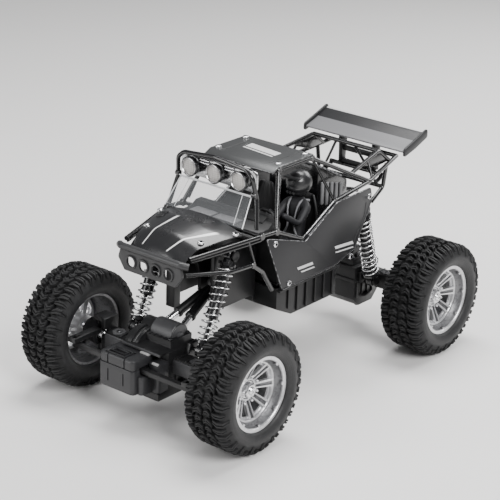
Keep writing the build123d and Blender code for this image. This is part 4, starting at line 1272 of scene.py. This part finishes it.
def satin_alloy(name, dark, light):
    alloy = Finish(name, light, 0.34, 0.4, Specular_IOR_Level=0.5)
    place = alloy.place()
    grain = alloy.noise(place, 1.9, 4.0, 0.6)
    cloud = alloy.noise(place, 0.03, 4.0)
    wear = alloy.mask("rim") * alloy.noise(place, 0.5, 5.0).step(0.4, 0.6)
    alloy.set(Base_Color=alloy.mix(wear * 0.8, alloy.mix(cloud, dark, light), (0.42, 0.42, 0.43)),
              Roughness=0.33 + grain * 0.08 + cloud * 0.06 - wear * 0.1)
    return alloy.bump(grain, 0.006)


ALLOY = satin_alloy("alloy_panel", (0.016, 0.016, 0.017), (0.034, 0.034, 0.036))
# The roof's copy of the alloy is paler than the doors': painted light on the upward face.
LIT_ROOF_ALLOY = satin_alloy("alloy_roof", (0.034, 0.035, 0.036), (0.070, 0.072, 0.072))
GLARE_PAINT = moulded("stripe_paint", (0.50, 0.50, 0.50), 0.42, grain=2.0, depth=0.02)


def round_corners(outline, radius, steps=5):
    """Swaps each corner of a flat outline for an arc."""
    soft = []
    count = len(outline)
    for i, corner in enumerate(outline):
        here = Vector(corner)
        back, ahead = Vector(outline[i - 1]) - here, Vector(outline[(i + 1) % count]) - here
        half = back.angle(ahead) / 2
        reach = min(radius / math.tan(half), back.length * 0.45, ahead.length * 0.45)
        start, end = here + back.normalized() * reach, here + ahead.normalized() * reach
        for k in range(steps + 1):
            t = k / steps
            soft.append(tuple(start * (1 - t) ** 2 + here * 2 * t * (1 - t) + end * t ** 2))
    return soft


RIM_WIDTH = 0.0003            # metres, more than one step of the panel's bevel


def mark_rim(piece):
    """Marks the narrow faces of the bevel, where paint wears off first."""
    mesh = piece.data
    narrow = []
    for face in mesh.polygons:
        sides = [(mesh.vertices[a].co - mesh.vertices[b].co).length for a, b in face.edge_keys]
        narrow.append(1.0 if min(sides) < RIM_WIDTH and len(sides) == 4 else 0.0)
    return mark(piece, "rim", narrow, "FACE")


def side_panel(side):
    y = 1 if side == "left" else -1
    outline = round_corners([(48.4, 115.8), (7.3, 102.8), (-25.9, 121.1), (-63.2, 121.9),
                             (-65.6, 112.8), (-48.6, 81.8), (-26.6, 75.5), (30, 74.8)], 2.2)
    low, high = span(y, PANEL_Y + 0.05, PANEL_Y + PANEL_THICK)
    plate = tidy(slab("plate", outline, low, high), ALLOY, bevel=0.28)
    hem = [(30, 75.6), (-26.4, 76.3), (-48.0, 82.6), (-64.4, 112.6)]
    crease = [(-58.4, 112.5), (-57.0, 104), (-49.6, 92), (-45.2, 84.6)]
    face = PANEL_Y + PANEL_THICK
    bead = bent_tubes("bead", [[(x, y * (face - 0.25), z) for x, z in hem]], 0.55, 3.0, ALLOY)
    fold = bent_tubes("fold", [[(x, y * (face - 0.3), z) for x, z in crease]], 0.5, 6.0, ALLOY)
    face_y = y * face
    # Pale slanted patches on the face of the panel: painted highlights.
    flash = []
    for x0, x1, z0, rise, tall in ((-46, -26, 87.8, -1.6, 2.2), (-46.6, -27, 84.8, -1.5, 1.0),
                                   (-2, 14, 84.5, -0.6, 2.0), (-4, 10, 81.7, -0.5, 1.0)):
        corners = [(x0, z0 + rise), (x1, z0), (x1 + 1.2, z0 + tall), (x0 + 1.2, z0 + rise + tall)]
        flash.append(slab("flash", corners, *sorted((face_y - y * 0.05, face_y + y * 0.06))))
    marks = tidy(merge("marks", *flash), GLARE_PAINT)
    return merge(f"side_panel_{side}_sheet", mark_rim(plate), bead, fold, marks)


for side in ("left", "right"):
    fit(side_panel(side), "chassis", "alloy_panel", "side_panels")


def roof():
    half = ROOF_EDGE + 0.8
    outline = [(-15.5, ROOF_Z), (20.5, ROOF_Z), (26.8, 149.9), (27.3, 150.9),
               (21, ROOF_Z + PANEL_THICK), (-15.5, ROOF_Z + PANEL_THICK)]
    sheet = tidy(slab("sheet", outline, -half, half), LIT_ROOF_ALLOY, bevel=0.3)
    top = ROOF_Z + PANEL_THICK
    # Two pale slanted strips on the roof: painted highlights, a patch of soft light.
    skin, slant = top + 0.04, 3
    flash = [new_piece("flash", [(x0, -14, skin), (x1, -14, skin), (x1 + slant, 13, skin),
                                 (x0 + slant, 13, skin)], [(0, 1, 2, 3)]) for x0,
             x1 in ((-4.5, 2.5), (4.0, 5.6))]
    stripes = change(merge("stripes", *flash), "SOLIDIFY", thickness=0.00012, offset=0)
    ribs = [box(-13.8, 19, y - 0.7, y + 0.7, top - 0.4, top + 0.25) for y in (-19.5, 19.5)]
    pressed = tidy(merge("pressed", *ribs), LIT_ROOF_ALLOY, bevel=0.25)
    return merge("roof_sheet", mark_rim(sheet), tidy(stripes, GLARE_PAINT), pressed)


fit(roof(), "chassis", "alloy_panel", "roof_panel")

# ---------------------------------------------------------------- bonnet
# A crowned bonnet, moulded thin in satin black. Two raised lines run back over it, painted white. Two
# small louvres stand on its right flank, and a rolled lip finishes it by the screen.


def bonnet_paint():
    paint_job = Finish("bonnet_plastic", (0.014, 0.014, 0.016), 0.26, Coat_Weight=0.35,
                       Coat_Roughness=0.12)
    place = paint_job.place()
    x, y, _ = paint_job.split(place)
    ahead = 104 - x
    left_line = (y - 7.6 - ahead * 0.56).math("ABSOLUTE") * 0.87
    right_line = (y + 12.6 - ahead * 0.14).math("ABSOLUTE")
    nearest = left_line.math("MINIMUM", right_line)
    along = x.step(73, 76) * (1 - x.step(103, 104))
    taper = 0.45 + x.step(100, 76) * 0.5
    mask = (1 - (nearest - taper).step(-0.15, 0.15)) * along
    cloud = paint_job.noise(place, 0.06, 4.0)
    scuff = paint_job.noise(place, 0.9, 6.0).step(0.5, 0.7)
    paint_job.set(Base_Color=paint_job.mix(mask, (0.012, 0.012, 0.013), (0.75, 0.75, 0.74)),
                  Roughness=0.22 + cloud * 0.12 + scuff * 0.1)
    return paint_job.bump(paint_job.noise(place, 1.8, 3.0) * 0.4 + mask * 0.6, 0.05)


BONNET = bonnet_paint()
BONNET_STATIONS = [(62, 35.5, 120, 126), (76, 30.5, 119, 125.5), (94, 24.5, 116, 122),
                   (104, 23, 109.5, 114), (107.2, 22.6, 107.6, 109.2)]


def along_stations(x):
    """The bonnet's half width, edge height and crown height at x."""
    for (x0, *low), (x1, *high) in zip(BONNET_STATIONS, BONNET_STATIONS[1:]):
        if x <= x1:
            t = (x - x0) / (x1 - x0)
            return [a + (b - a) * t for a, b in zip(low, high)]


CROWN = 2.4                  # how square the bonnet's section is across


def bonnet_point(x, u):
    """A point of the bonnet's skin, u running from -1 to 1 across it."""
    half, edge, crown = along_stations(x)
    return (x, u * half, edge + (crown - edge) * (1 - abs(u) ** CROWN))


def bonnet():
    points = []
    rows, across = 29, 24
    for i in range(rows + 1):
        x = 62.1 + 44.9 * i / rows
        for j in range(across + 1):
            x, y, z = bonnet_point(x, 2 * j / across - 1)
            points.append((x, y, z - 0.1))
    shell = tidy(new_piece("shell", points, weave(rows + 1, across + 1)), smooth=60)
    change(shell, "SMOOTH", iterations=3, factor=0.5)
    change(shell, "SOLIDIFY", thickness=0.0011, offset=-1)
    louvres = []
    for x in (72, 76.6):
        half, edge, crown = along_stations(x)
        lean = Matrix.Rotation(math.atan2(crown - edge, half) * 1.2, 4, "X") @ Matrix.Rotation(0.28,
                                                                                               4,
                                                                                               "Y")
        louvres.append(moved(box(-1.4, 1.4, -3.2, 3.2, -0.3, 0.75),
                             shift(*bonnet_point(x, -0.72)) @ lean))
    lip = bent_tubes("lip", [[(62.7, -34.2, 120.3), (62.7, -18, 124.2), (62.7, 0, 125.6),
                              (62.7, 18, 124.2), (62.7, 34.2, 120.3)]], 0.6, 14, BONNET)
    vents = tidy(merge("vents", *louvres), BONNET, bevel=0.3)
    return merge("bonnet_shell", tidy(shell, BONNET, smooth=60), vents, lip)


fit(bonnet(), "chassis", "bonnet_plastic", "bonnet")

# ---------------------------------------------------------------- bumper
# A moulded plate with four round-cornered windows, each with a raised ring round it. It hangs under a
# fat bar that wraps the nose, and screws to the front of the tub.
BUMPER_BLACK = moulded("bumper_black", (0.026, 0.026, 0.027), 0.36)
WINDOWS_Y = (-15.6, -5.2, 5.2, 15.6)
BUMPER_Z = 102


def bumper():
    outline = round_corners([(-25, 109.4), (25, 109.4), (27, 103), (21.5, 95.1), (-21.5, 95.1),
                             (-27, 103)], 2.0)
    count = len(outline)
    x0, x1 = 108.3, 110.5
    points = [(x, y, z) for x in (x0, x1) for y, z in outline]
    faces = [tuple(range(count)), tuple(range(count, 2 * count))]
    faces += weave(2, count, closed=True)
    plate = tidy(new_piece("plate", points, faces))
    for y in WINDOWS_Y:
        window = rounded_box("window", -3.9, 3.9, y - 3.9, y + 3.9, 107, 112, 2.6, front_only=False)
        moved(window, shift(0, 0, BUMPER_Z) @ Matrix.Rotation(math.pi / 2, 4, "Y"))
        carve(plate, window)
    tidy(plate, BUMPER_BLACK, bevel=0.35)
    bar_path = [[(106.5, -29, 109.5), (109.4, -25, 110.4), (109.4, 25, 110.4), (106.5, 29, 109.5)]]
    top_bar = bent_tubes("top_bar", bar_path, 2.35, 5, BUMPER_BLACK)
    rings = []
    for y in WINDOWS_Y:
        hoop = revolve("hoop", [(0, 3.2), (0.9, 3.4), (0.9, 4.3), (0, 4.5), (-0.5, 4.3),
                                (-0.5, 3.4)], 32)
        rings.append(moved(hoop, aim((110.4, y, BUMPER_Z), (1, 0, 0))))
    hoops = tidy(merge("hoops", *rings), BUMPER_BLACK)
    return merge("bumper", plate, top_bar, hoops)


fit(bumper(), "chassis", "black_plastic", "front_bumper")

# ---------------------------------------------------------------- windscreen
# A sheet of clear plastic folded twice, flat in the middle and turned back at each side. Pale opaque bars
# along its cut edges and its folds are painted highlights, for the light they catch.
CLEAR = Finish("clear_plastic", (0.30, 0.31, 0.32), 0.06, Alpha=0.13)
uneven(CLEAR, 0.04, 0.1, 0.25, 5.0)
# A pale opaque finish for bars that stand for light caught on edges: painted highlight.
EDGE_GLINT = Finish("clear_edge", (0.80, 0.81, 0.82), 0.2, Coat_Weight=0.5)
uneven(EDGE_GLINT, 0.15, 0.15, 0.6)


def windscreen():
    top, foot = (48.7, 140.4), (60.6, 123.1)
    top_half, foot_half = 29.6, 32.6
    pane = [(top[0], -top_half, top[1]), (top[0], top_half, top[1]), (foot[0], foot_half, foot[1]),
            (foot[0], -foot_half, foot[1])]
    sheet = new_piece("sheet", pane, [(0, 1, 2, 3)])
    change(sheet, "SOLIDIFY", thickness=0.0007, offset=0)
    inner = [(48.9, 140.0), (60.2, 123.6)]
    rims = [[pane[0], pane[1]], [pane[1], pane[2]], [pane[3], pane[0]],
            [(inner[0][0], -22.5, inner[0][1]), (inner[1][0], -25.0, inner[1][1])],
            [(inner[0][0], 22.5, inner[0][1]), (inner[1][0], 25.0, inner[1][1])]]
    frame_bars = bent_tubes("rims", rims[:3], 0.36, 1, EDGE_GLINT)
    folds = bent_tubes("folds", rims[3:], 0.22, 1, EDGE_GLINT)
    return merge("windscreen_sheet", tidy(sheet, CLEAR), frame_bars, folds)


fit(windscreen(), "chassis", "clear_plastic", "windscreen")

# ---------------------------------------------------------------- lamp bar
# A bent hoop carries three round lamps on a bright backing plate. Between the lamps run pairs of slim
# bright bars, and each lamp has a plated bezel round a frosted lens.
CHROME = bright_metal("lamp_chrome", (0.66, 0.66, 0.67), 0.2)
LAMPS_Y = (-20.7, 0.0, 20.7)
LAMP_Z = 149.4
LAMP_FACE = 50.3


def lamp_bar():
    arch = [(51.5, 37, 121), (47.5, 33, 140), (50, 31, 154), (50, 26, 158), (50, 0, 160.4)]
    hoop_path = arch + [(x, -y, z) for x, y, z in reversed(arch[:-1])]
    hoop = bent_tubes("hoop", [hoop_path], 1.5, 6, CAGE_BLACK)
    # The pale bar under the lamps is a painted highlight, the light along the top edge of the screen.
    rail = bent_tubes("rail", [[(49.4, -31, 141.4), (49.4, 31, 141.4)]], 0.4, 1, EDGE_GLINT)
    bosses = tidy(merge("bosses", *[bar("boss", (48.6, y - 1.6, 142.2), (48.6, y + 1.6, 142.2), 1.9)
                                    for y in (-32, 32)]), CAGE_BLACK)
    visor = tidy(box(44.9, 49.6, -27, 27, 156.7, 157.7), CAGE_BLACK, bevel=0.4)
    back = rounded_box("back", -7.2, 7.2, -31.6, 31.6, 44.7, 45.9, 3.0, front_only=False)
    moved(back, shift(0, 0, 149.6) @ Matrix.Rotation(math.pi / 2, 4, "Y"))
    plate = tidy(back, CHROME, bevel=0.25)
    bars = []
    for y0, y1 in ((-14.2, -6.4), (6.4, 14.2)):
        for z in (153.2, 155.1):
            bars.append(bar("bar", (47.6, y0, z), (47.6, y1, z), 0.62, 12, 0.15))
    slim = tidy(merge("slim", *bars), CHROME)
    pods, bezels = [], []
    for y in LAMPS_Y:
        pod = revolve("pod", [(-6, 0.02), (-6, 4.2), (-4.4, 5.6), (-1, 6.5), (0.9, 6.75),
                              (1.2, 6.5), (1.2, 6.0), (-0.6, 5.9), (-0.6, 0.02)], 40)
        bezel = revolve("bezel", [(-0.8, 5.25), (-0.4, 5.95), (0.9, 6.05), (1.5, 5.95), (1.6, 5.7),
                                  (1.0, 5.3)], 40)
        pods.append(moved(pod, aim((LAMP_FACE, y, LAMP_Z), (1, 0, 0))))
        bezels.append(moved(bezel, aim((LAMP_FACE, y, LAMP_Z), (1, 0, 0))))
    return merge("lamp_bar_frame", hoop, rail, bosses, visor, plate, slim,
                 tidy(merge("pods", *pods), CAGE_BLACK), tidy(merge("bezels", *bezels), CHROME))


fit(lamp_bar(), "chassis", "black_plastic", "lamp_bar")


def lens_finish():
    lens = Finish("lamp_lens", (0.4, 0.38, 0.36), 0.2, Coat_Weight=0.5, Coat_Roughness=0.1)
    place = lens.place()
    _, y, z = lens.split(place)
    ribs = ((y * 4.6).math("SINE") * 0.5 + 0.5) * 0.6 + ((z * 4.6).math("SINE") * 0.5 + 0.5) * 0.4
    lens.set(Base_Color=lens.mix(ribs, (0.30, 0.285, 0.27), (0.50, 0.48, 0.46)),
             Roughness=0.14 + ribs * 0.12)
    return lens.bump(ribs, 0.12)


def lenses():
    made = []
    for y in LAMPS_Y:
        dome = revolve("dome", [(-0.4, 0.02), (-0.4, 5.3), (0.15, 5.3), (0.65, 4.4), (1.0, 3.0),
                                (1.2, 1.4), (1.25, 0.02)], 40)
        made.append(moved(dome, aim((LAMP_FACE + 0.2, y, LAMP_Z), (1, 0, 0))))
    return tidy(merge("lamp_glasses", *made), lens_finish(), smooth=50)


fit(lenses(), "chassis", "lamp_lens", "lamp_lenses")

# ---------------------------------------------------------------- engine cover
# Behind the seats a moulded cover stands in for the engine, with a row of pale slats on its sloping top
# and down each flank.
SLAT = moulded("slat_grey", (0.16, 0.16, 0.165), 0.4, grain=1.5)


def slats_builder():
    """Lays Count copies of the mesh in a row, Step apart."""
    row = Builder("row_of_slats", Count=7, Step=(-0.005, 0.0, -0.0025))
    line = row.add("GeometryNodeMeshLine", None, Count=row.given("Count"), Offset=row.given("Step"))
    return row.finish(row.add("GeometryNodeInstanceOnPoints", None, line,
                              Instance=row.given("Geometry")))


SLATS = slats_builder()


def engine_cover():
    half = 20.8
    shell = tidy(slab("shell", [(-31.6, 104.3), (-65.8, 104.3), (-65.8, 122.2), (-32.2, 139.2)],
                      -half, half), CAGE_BLACK, bevel=1.2)
    pitch = 4.6
    fall = pitch * (139.2 - 122.2) / (65.8 - 32.2)
    top_slat = tidy(slab("top_slat", [(-36.2, 137.0), (-33.4, 138.4), (-33.0, 140.2),
                                      (-35.8, 138.8)], -17.5, 17.5), bevel=0.25)
    top_slats = grow(top_slat, SLATS, SLAT, Count=7, Step=(-pitch * 0.001, 0, -fall * 0.001))
    flank = []
    for s in (1, -1):
        slat = tidy(box(-38.4, -35.6, *span(s, half - 0.3, half + 1.0), 111, 127), bevel=0.3)
        flank.append(grow(slat, SLATS, SLAT, Count=5, Step=(-0.0052, 0, -0.0014)))
    pipes = bent_tubes("pipes", [[(-66.5, s * 12, 109), (-78, s * 12, 109.5), (-86, s * 15, 107.5)]
                                 for s in (1, -1)], 1.7, 5, CAGE_BLACK)
    return merge("engine_cover_shell", shell, top_slats, *flank, pipes)


fit(engine_cover(), "chassis", "black_plastic", "engine_cover")

# ---------------------------------------------------------------- rear wing
# A single-piece wing with shaped end plates stands on two posts with a cross brace. The leading half is
# a paler grey, and a light stripe marks the trailing lip.


def wing_finish():
    wing = Finish("wing_plastic", (0.03, 0.03, 0.032), 0.38, Specular_IOR_Level=0.4)
    place = wing.place()
    x, y, z = wing.split(place)
    front = x.step(-113.6, -113.2)
    stripe = (1 - x.step(-123.4, -123.1)) * x.step(-125.6, -125.3)
    inside = 1 - y.math("ABSOLUTE").step(42.2, 42.5)
    top = z.step(136.0, 137.0)
    brush = wing.noise(place, 1.1, 5.0)
    base = wing.mix(front * inside * top, (0.016, 0.016, 0.017), (0.15, 0.15, 0.155))
    wing.set(Base_Color=wing.mix(stripe * inside, base, (0.55, 0.55, 0.55)),
             Roughness=0.32 + brush * 0.16)
    return wing.bump(wing.noise(place, 2.6, 3.0), 0.05)


WING = wing_finish()


def rear_wing():
    upper = [(-99.7, 138.6), (-104, 139.8), (-110, 141.6), (-116, 143.9), (-121, 146.0),
             (-124.9, 147.5)]
    lower = [(x, z - 1.5 + 0.3 * abs(i - 2.5) / 2.5) for i, (x, z) in enumerate(upper)]
    foil = tidy(slab("foil", upper + lower[::-1], -42.6, 42.6), WING, bevel=0.3)
    ends = []
    for s in (1, -1):
        outline = round_corners([(-98.5, 134.6), (-98.7, 140.5), (-112, 144.9), (-125.8, 149.8),
                                 (-126, 143.4), (-112, 138.2)], 2.4)
        ends.append(slab("end", outline, *span(s, 42.5, 44.0)))
    posts = []
    for s in (1, -1):
        outline = [(-109, 117), (-104, 117), (-103.8, 128), (-103.0, 139.2), (-111.0, 141.4),
                   (-109.6, 128)]
        posts.append(slab("post", outline, *span(s, 12.9, 15.8)))
    posts.append(box(-109, -104.2, -16, 16, 117, 118.9))
    posts.append(box(-108.4, -105.6, -13, 13, 125.5, 129.0))
    return merge("wing", foil, tidy(merge("ends", *ends), WING, bevel=0.35),
                 tidy(merge("posts", *posts), BLACK_ABS, bevel=0.4))


fit(rear_wing(), "chassis", "wing_plastic", "rear_wing")

# ---------------------------------------------------------------- panel screws
# Bright button-head screws with hexagon sockets hold the panels, the roof and the bonnet. They are
# turned from plated steel, and each stops at its own angle.
BUTTON = fastener_head("button_head", 2.1, 1.35, 1.05)


def panel_screw_places():
    face = PANEL_Y + PANEL_THICK
    places = []
    for x, z in ((39.5, 109.8), (24, 78.5), (-42.9, 77.9), (-60.8, 116.1)):
        places += [((x, s * face, z), (0, s, 0)) for s in (1, -1)]
    for x in (17.2, -10.8):
        places += [((x, y, ROOF_Z + PANEL_THICK), (0, 0, 1)) for y in (-25.1, 25.1)]
    for x, u in ((66, 0.93), (88.5, 0.86)):
        for s in (1, -1):
            x, y, z = bonnet_point(x, s * u)
            places.append(((x, y, z - 0.1), (0.1, s * 0.3, 1)))
    return places


fit(screws("panel_screw_heads", BUTTON, BRIGHT, panel_screw_places()), "chassis", "bright_steel",
    "panel_screws")
for pattern in (BUTTON, CASE_HEAD):
    bpy.data.objects.remove(pattern)

# ---------------------------------------------------------------- floor, light and camera
# A plain pale floor under four soft lights. The camera looks down on the front left corner.
floor = new_piece("floor", [(-3000, -3000, 0), (3000, -3000, 0), (3000, 3000, 0), (-3000, 3000, 0)],
                  [(0, 1, 2, 3)])
floor.data.materials.append(Finish("pale_floor", (0.76, 0.75, 0.74), 0.6).material)

world = bpy.data.worlds.new("studio")
bpy.context.scene.world = world
world.use_nodes = True
world.node_tree.nodes["Background"].inputs[0].default_value = (0.86, 0.87, 0.9, 1)
world.node_tree.nodes["Background"].inputs[1].default_value = 0.24


def soft_light(name, place, size, power):
    light = bpy.data.lights.new(name, "AREA")
    light.shape, light.size, light.size_y, light.energy = "RECTANGLE", size[0], size[1], power
    lamp = linked(name, light)
    lamp.location = place
    lamp.rotation_euler = (Vector((0, 0, 0.075)) - Vector(place)).to_track_quat("-Z",
                                                                                "Y").to_euler()


soft_light("key", (0.35, 0.95, 0.9), (0.6, 0.6), 20)
soft_light("top", (-0.25, -0.1, 1.1), (0.8, 0.5), 17)
soft_light("front", (1.1, -0.55, 0.55), (0.5, 0.9), 9)
soft_light("back", (-1.0, 0.1, 0.6), (0.8, 0.5), 8)

AZIMUTH, ELEVATION, ROLL = math.radians(38.97), math.radians(21.47), math.radians(1.8)
DISTANCE = 1.2204
SIDE_SHIFT, RISE = -0.0050, 0.0771
back = Vector((math.cos(ELEVATION) * math.cos(AZIMUTH), math.cos(ELEVATION) * math.sin(AZIMUTH),
               math.sin(ELEVATION)))
level = Vector((-math.sin(AZIMUTH), math.cos(AZIMUTH), 0))
upright = back.cross(level)
right_hand = level * math.cos(ROLL) + upright * math.sin(ROLL)
upward = upright * math.cos(ROLL) - level * math.sin(ROLL)
lens = bpy.data.cameras.new("camera")
lens.lens, lens.sensor_width = 127.9, 36
camera = linked("camera", lens)
turned = Matrix((right_hand, upward, back)).transposed().to_4x4()
camera.matrix_world = Matrix.Translation(back * DISTANCE + right_hand * SIDE_SHIFT + upward * RISE) @ turned
bpy.context.scene.camera = camera
